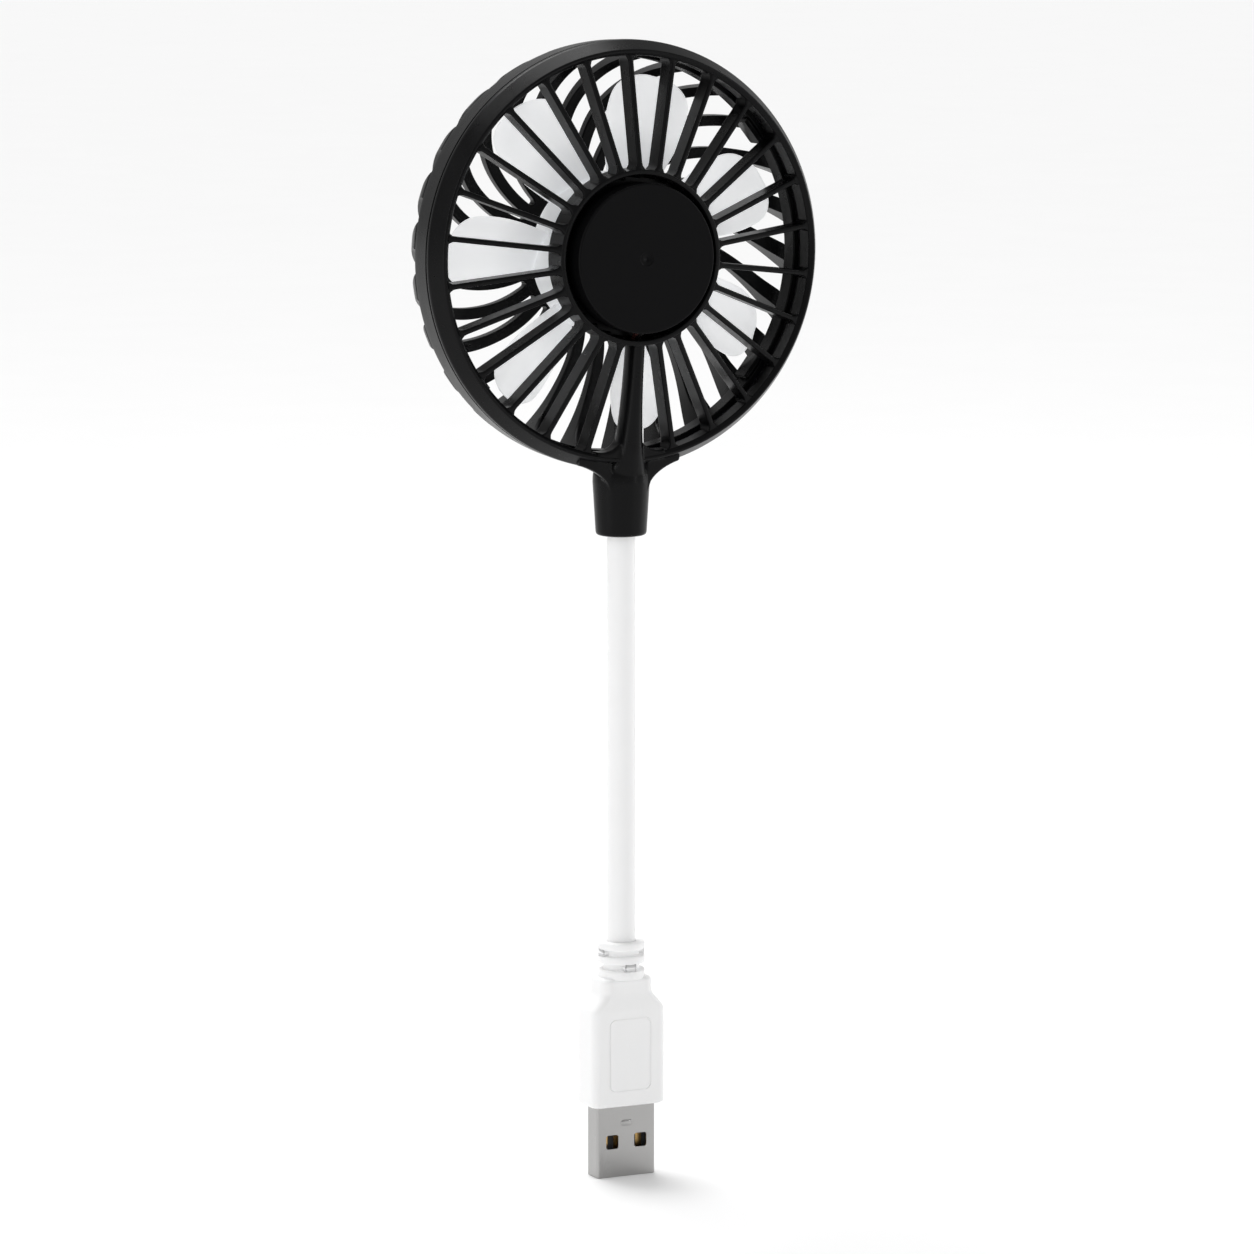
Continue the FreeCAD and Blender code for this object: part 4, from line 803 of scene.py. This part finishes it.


# %% [markdown]
# ## The arm
# The real arm is one jacket over a wire that stays where it is bent. The frame bends it at ten hinges, so the jacket
# is cut into ten lengths, each with a hinge at its middle. Two lengths meet halfway between hinges.

# %% A tube along a line, by Geometry Nodes
def tube_tree():
    tree = bpy.data.node_groups.new("jacket_tube", "GeometryNodeTree")
    face = tree.interface
    for label in ("Start", "End", "Outer Radius", "Inner Radius"):
        face.new_socket(label, in_out="INPUT", socket_type="NodeSocketFloat")
    face.new_socket("Rings", in_out="INPUT", socket_type="NodeSocketInt")
    face.new_socket("Finish", in_out="INPUT", socket_type="NodeSocketMaterial")
    face.new_socket("Geometry", in_out="OUTPUT", socket_type="NodeSocketGeometry")
    given, result = tree.nodes.new("NodeGroupInput"), tree.nodes.new("NodeGroupOutput")
    both = tree.nodes.new("GeometryNodeJoinGeometry")
    low, high = tree.nodes.new("ShaderNodeCombineXYZ"), tree.nodes.new("ShaderNodeCombineXYZ")
    line = tree.nodes.new("GeometryNodeCurvePrimitiveLine")
    rings = tree.nodes.new("GeometryNodeResampleCurve")
    links = [(given.outputs["Start"], low.inputs["Z"]), (given.outputs["End"], high.inputs["Z"]),
             (low.outputs[0], line.inputs["Start"]), (high.outputs[0], line.inputs["End"]),
             (line.outputs[0], rings.inputs["Curve"]), (given.outputs["Rings"], rings.inputs["Count"])]
    for label in ("Outer Radius", "Inner Radius"):
        circle = tree.nodes.new("GeometryNodeCurvePrimitiveCircle")
        circle.inputs["Resolution"].default_value = 48
        skin = tree.nodes.new("GeometryNodeCurveToMesh")
        links += [(given.outputs[label], circle.inputs["Radius"]), (rings.outputs[0], skin.inputs["Curve"]),
                  (circle.outputs[0], skin.inputs["Profile Curve"])]
        end = skin.outputs[0]
        if label == "Inner Radius":
            flip = tree.nodes.new("GeometryNodeFlipFaces")
            links.append((end, flip.inputs[0]))
            end = flip.outputs[0]
        links.append((end, both.inputs[0]))
    smooth, paint = tree.nodes.new("GeometryNodeSetShadeSmooth"), tree.nodes.new("GeometryNodeSetMaterial")
    links += [(both.outputs[0], smooth.inputs[0]), (smooth.outputs[0], paint.inputs[0]),
              (given.outputs["Finish"], paint.inputs["Material"]), (paint.outputs[0], result.inputs[0])]
    for source, target in links:
        tree.links.new(source, target)
    return tree


TUBE = tube_tree()


# %% Cut the jacket at the middle of each stiff length
ARM_BORE = 1.95
RING_SPACING = 0.35


def jacket_length(name, start, end):
    mesh = bpy.data.meshes.new(name)
    piece = bpy.data.objects.new(name, mesh)
    bpy.context.scene.collection.objects.link(piece)
    tube = piece.modifiers.new("tube", "NODES")
    tube.node_group = TUBE
    values = {"Start": start, "End": end, "Outer Radius": ARM_RADIUS * MM, "Inner Radius": ARM_BORE * MM,
              "Rings": max(9, round((end - start) / (RING_SPACING * MM))), "Finish": JACKET_WHITE}
    for item in TUBE.interface.items_tree:
        if item.in_out == "INPUT":
            tube[item.identifier] = values[item.name]
    return plain(piece)


heights = [joint["pos_m"][2] for joint in bends]
middles = [(low + high) / 2 for low, high in zip(heights, heights[1:])]
starts = [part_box("jacket_base")[0].z] + middles
ends = middles + [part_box("jacket_end")[1].z]
BEND_REACH = (heights[1] - heights[0]) * 0.44
labels = ["base"] + [str(number) for number in range(1, len(bends))] + ["end"]
for number, joint in enumerate(bends):
    skin = jacket_length("arm_jacket_%d" % (number + 1), starts[number], ends[number])
    skin.data.materials.clear()
    skin.data.materials.append(JACKET_WHITE)
    low, high = heights[number] - BEND_REACH, heights[number] + BEND_REACH
    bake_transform(skin)
    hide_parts("jacket_" + labels[number], "jacket_" + labels[number + 1])
print("jacket lengths:", len(bends))


# %% [markdown]
# ## The plug's grip
# Soft PVC moulded over the wires: a block with generous corners that necks down to three slotted rings, which let
# the arm flex where it leaves. The block is a stack of rounded rectangles. It starts inside the opening that the
# steel shell comes out of, turns over the lower edge and climbs, so the edge is one smooth skin.

# %% Stack the grip's block
GRIP_WIDE, GRIP_DEEP, GRIP_CORNER = 15, 7.8, 1.5


def rounded_rectangle(wide, deep, height, corner):
    half_w, half_d = wide / 2, deep / 2
    loop = soften([(-half_w, -half_d, corner), (half_w, -half_d, corner), (half_w, half_d, corner),
                   (-half_w, half_d, corner)], 7)
    return [(x, y, height) for x, y in loop]


def grip_block():
    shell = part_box("plug_shell")
    opening = (shell[1].x * 2 / MM + 0.1, 4.6)
    sections = [rounded_rectangle(*opening, height, 0.5) for height in (1.2, 0.0)]
    for step in range(6):
        angle = math.pi / 2 * step / 5
        inset, rise = 0.6 * (1 - math.sin(angle)), 0.6 * (1 - math.cos(angle))
        sections.append(rounded_rectangle(GRIP_WIDE - inset * 2, GRIP_DEEP - inset * 2, rise, GRIP_CORNER))
    for height in (4, 9, 14, 17.6):
        sections.append(rounded_rectangle(GRIP_WIDE, GRIP_DEEP, height, GRIP_CORNER))
    for step in range(1, 17):
        share = step / 16
        ease = share * share * (3 - 2 * share)
        sections.append(rounded_rectangle(GRIP_WIDE - 4.6 * ease, GRIP_DEEP - 0.8 * ease, 17.8 + 4.0 * share,
                                          GRIP_CORNER + 0.3 * ease))
    for height, inset in ((23.4, 0.0), (23.75, 0.06), (24.0, 0.2), (24.15, 0.4), (24.2, 0.65)):
        sections.append(rounded_rectangle(10.4 - inset * 2, 7.0 - inset * 2, height, 1.8 - inset * 0.4))
    return lofted("grip_block", sections)


# %% Slotted rings of the strain relief
RELIEF_RING, RELIEF_SLOT, RELIEF_RADIUS, RELIEF_BORE, SLOT_FLOOR = 1.5, 1.1, 4.4, 2.68, 3.35


def strain_relief():
    corners, height = [(GRIP_TOP, RELIEF_BORE, 0.1)], GRIP_TOP
    for number in range(3):
        corners += [(height, RELIEF_RADIUS, 0.38), (height - RELIEF_RING, RELIEF_RADIUS, 0.38)]
        height -= RELIEF_RING
        if number < 2:
            corners += [(height, SLOT_FLOOR, 0.15), (height - RELIEF_SLOT, SLOT_FLOOR, 0.15)]
            height -= RELIEF_SLOT
    corners[-1] = (height - 0.2, RELIEF_RADIUS, 0.05)
    corners += [(height - 0.2, RELIEF_BORE, 0)]
    sleeve = turned("sleeve", corners[::-1], "arm", 96, 4)
    long_way, short_way, bridges = RELIEF_RADIUS * 1.93, 2.3, []
    for number, (wide, deep) in enumerate(((short_way, long_way), (long_way, short_way))):
        low = GRIP_TOP - RELIEF_RING * (2 - number) - RELIEF_SLOT * (2 - number)
        sections = [rounded_rectangle(wide, deep, z, 0.3) for z in (low - 0.3, low + RELIEF_SLOT + 0.3)]
        bridges.append(lofted("bridge", sections))
    return [sleeve] + bridges


# %% The line round the grip's front face
def ringed(name, loops):
    """A closed skin through loops, the last joined to the first."""
    count = len(loops[0])
    points, faces = [point for loop in loops for point in loop], []
    for row in range(len(loops)):
        here, there = row * count, (row + 1) % len(loops) * count
        for k in range(count):
            after = (k + 1) % count
            faces.append((here + k, here + after, there + after, there + k))
    return new_piece(name, points, faces)


def panel_groove():
    """A shallow line round the grip's front face, as the mould's insert leaves it."""
    wide, tall, line, depth, centre = 8.6, 13.8, 0.24, 0.05, 9.9
    outside, floor_y = -4.4, -GRIP_DEEP / 2 + depth
    loops = []
    for shrink, y in ((0, outside), (0, floor_y), (line, floor_y), (line, outside)):
        w, t = wide / 2 - shrink, tall / 2 - shrink
        loop = soften([(-w, -t, 1.2), (w, -t, 1.2), (w, t, 1.2), (-w, t, 1.2)], 5)
        loops.append([(x, y, centre + z) for x, z in loop])
    return ringed("panel_groove", loops)


# %% Cut the line and join the grip
def cut_away(piece, cutters):
    """Take cutters out of a piece, and remove them."""
    for cutter in cutters:
        bite = piece.modifiers.new("bite", "BOOLEAN")
        bite.operation, bite.object, bite.solver = "DIFFERENCE", cutter, "EXACT"
    plain(piece)
    for cutter in cutters:
        bpy.data.objects.remove(cutter)
    return piece


block = cut_away(grip_block(), [panel_groove()])
grip = even_shading(joined("plug_grip_moulding", [block] + strain_relief()))
keep(grip, "plug", "grip_plastic", GRIP_WHITE, "plug_grip")


# %% [markdown]
# ## The plug's steel shell
# A strip of nickel-plated steel folded into a tube 12 mm by 4.5 mm. Its folded corners are rounded, its two windows
# on each face are punched with rounded corners, and one small oval is pressed out above them. Cutting the windows
# with a boolean keeps them true holes, with the contacts seen behind, and a fine bevel gives each punched edge its line.

# %% Fold and punch the shell
SHELL_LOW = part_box("plug_shell")[0].z / MM
SHELL_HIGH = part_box("plug_shell")[1].z / MM


def shell_tube():
    tip, top = SHELL_LOW, SHELL_HIGH
    loops = [(11.4, 3.9, top, 0.25), (12.0, 4.5, top, 0.55), (12.0, 4.5, tip + 0.12, 0.55),
             (11.86, 4.36, tip + 0.02, 0.5), (11.7, 4.2, tip, 0.42), (11.5, 4.0, tip + 0.03, 0.3),
             (11.4, 3.9, tip + 0.14, 0.25)]
    return ringed("shell_tube", [rounded_rectangle(*loop) for loop in loops])


# %% Windows and pressed ovals
WINDOW_HALF_WIDE, WINDOW_HALF_TALL, WINDOW_ASIDE, WINDOW_RISE = 1.25, 1.3, 2.9, 6.7
OVAL_HALF_WIDE, OVAL_HALF_TALL, OVAL_RISE = 1.15, 0.55, 10.2


def window(side):
    corner, wide, tall = 0.45, WINDOW_HALF_WIDE, WINDOW_HALF_TALL
    outline = soften([(-wide, -tall, corner), (wide, -tall, corner), (wide, tall, corner), (-wide, tall, corner)], 5)
    aside, centre = side * WINDOW_ASIDE, SHELL_LOW + WINDOW_RISE
    return lofted("window", [[(aside + x, y, centre + z) for x, z in outline] for y in (-4, 4)])


def dimple(side):
    """A pressed oval: a low dome with a soft rim."""
    sections = []
    for step in range(6):
        angle = math.pi / 2 * step / 6
        scale, lift = math.cos(angle) ** 0.6, 0.25 * math.sin(angle)
        wide, tall, corner = OVAL_HALF_WIDE * scale, OVAL_HALF_TALL * scale, 0.5 * scale
        loop = soften([(-wide, -tall, corner), (wide, -tall, corner), (wide, tall, corner), (-wide, tall, corner)], 6)
        sections.append([(x, side * (2.22 + lift), SHELL_LOW + OVAL_RISE + z) for x, z in loop])
    return lofted("dimple", sections)


def plug_shell():
    tube = cut_away(shell_tube(), [window(-1), window(1)])
    edge = tube.modifiers.new("punched_edge", "BEVEL")
    edge.width, edge.segments, edge.limit_method, edge.angle_limit = 0.07 * MM, 2, "ANGLE", math.radians(50)
    plain(tube)
    return even_shading(joined("plug_shell_folded", [tube, dimple(-1), dimple(1)]))


keep(plug_shell(), "plug", "plug_steel", SHELL_NICKEL, "plug_shell")


# %% [markdown]
# ## Pieces that stay as the CAD made them
# The contacts, the motor and the wires already have their true shape. They keep it, and each gets its own finish.

# %% Finish the CAD nodes that stay
KEPT = {
    CARRIER: ["contact_carrier", "motor_end_cap"], CONTACT_GOLD: ["plug_contacts", "motor_terminals"],
    INNER_WHITE: ["inner_mould"], MOTOR_ZINC: ["motor_can", "motor_shaft", "armature_core"],
    BRONZE: ["front_bushing", "rear_bushing", "motor_brushes"], FERRITE: ["motor_magnets"],
    COPPER: ["armature_windings", "commutator"], WIRE_RED: ["lead_red"], WIRE_BLACK: ["lead_black"],
    CORE_STEEL: [name for name in nodes if name.startswith("core_wire")],
    CONDUCTOR_BLACK: [name for name in nodes if name.startswith("conductors")],
}
for material, names in KEPT.items():
    for name in names:
        nodes[name].data.materials.clear()
        nodes[name].data.materials.append(material)
print("CAD nodes that stay:", sum(len(names) for names in KEPT.values()))


# %% [markdown]
# ## Floor, light and camera
# A pale floor runs past the edge of the view, so it is also the backdrop. Soft daylight from a wide sun and an even
# room light the white pieces. The black mouldings are drawn by what they reflect, so thin strip lamps stand to the
# sides and behind: each leaves a narrow line along a rounded edge, while the flat cap reflects none and stays black.

# %% Floor
def floor_finish():
    finish = Finish("floor_paper", IOR=1.4, Specular_IOR_Level=0.1)
    grain = finish.noise(40.0, 3.0)
    finish.paint("Base Color", finish.between(grain, (0.94, 0.94, 0.94), (0.96, 0.96, 0.96)))
    finish.paint("Roughness", 0.8 + grain * 0.1)
    return finish.material


def floor():
    half, low = 14000.0, cad_box[0].z / MM
    points = [(-half, -half, low), (half, -half, low), (half, half, low), (-half, half, low)]
    paper = new_piece("floor", points, [(0, 1, 2, 3)])
    paper.data.materials.append(floor_finish())
    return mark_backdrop(paper)


floor()


# %% Lamps and room
def lamp(name, azimuth, elevation, distance, wide, tall, power):
    """A strip of light that faces the fan. Azimuth 0 is on the cap's side, -Y, and turns towards +X."""
    target = Vector((0, 0, 120 * MM))
    turn, lift = math.radians(azimuth), math.radians(elevation)
    offset = Vector((math.sin(turn) * math.cos(lift), -math.cos(turn) * math.cos(lift), math.sin(lift)))
    light = bpy.data.lights.new(name, "AREA")
    light.shape, light.size, light.size_y, light.energy = "RECTANGLE", wide, tall, power
    box = bpy.data.objects.new(name, light)
    box.location = target + offset * distance
    box.rotation_euler = (-offset).to_track_quat("-Z", "Y").to_euler()
    bpy.context.scene.collection.objects.link(box)


lamp("strip_left", -82, 16, 1.1, 0.05, 1.0, 2.6)
lamp("strip_right", 84, 16, 1.1, 0.04, 1.0, 2.2)
lamp("strip_front", 36, 12, 1.1, 0.03, 0.8, 0.9)
lamp("strip_above", -150, 62, 1.1, 0.9, 0.05, 1.8)


# %% Daylight and room
def daylight(energy, width, tilt):
    """A sun so wide that its shadow has no edge, tipped back from straight above."""
    light = bpy.data.lights.new("daylight", "SUN")
    light.energy, light.angle = energy, math.radians(width)
    sun = bpy.data.objects.new("daylight", light)
    sun.rotation_euler = (math.radians(tilt), 0, 0)
    bpy.context.scene.collection.objects.link(sun)


def room(strength):
    world = bpy.data.worlds.new("room")
    world.use_nodes = True
    background = world.node_tree.nodes["Background"].inputs
    background["Color"].default_value, background["Strength"].default_value = (1, 1, 1, 1), strength
    bpy.context.scene.world = world


daylight(energy=1.8, width=40, tilt=-30)
room(strength=0.5)
bpy.context.scene.view_settings.view_transform = "Standard"


# %% Camera
def camera(azimuth, elevation, distance, aim, lens):
    turn, lift = math.radians(azimuth), math.radians(elevation)
    offset = Vector((math.sin(turn) * math.cos(lift), -math.cos(turn) * math.cos(lift), math.sin(lift)))
    data = bpy.data.cameras.new("camera")
    data.lens, data.sensor_width, data.clip_start, data.clip_end = lens, 36.0, 0.05, 60.0
    view = bpy.data.objects.new("camera", data)
    view.location = aim + offset * distance
    view.rotation_euler = (-offset).to_track_quat("-Z", "Y").to_euler()
    bpy.context.scene.collection.objects.link(view)
    bpy.context.scene.camera = view


camera(azimuth=-25.9, elevation=8.136, distance=1.107, aim=Vector((0, -2.5, 90.1)) * MM, lens=172.25)
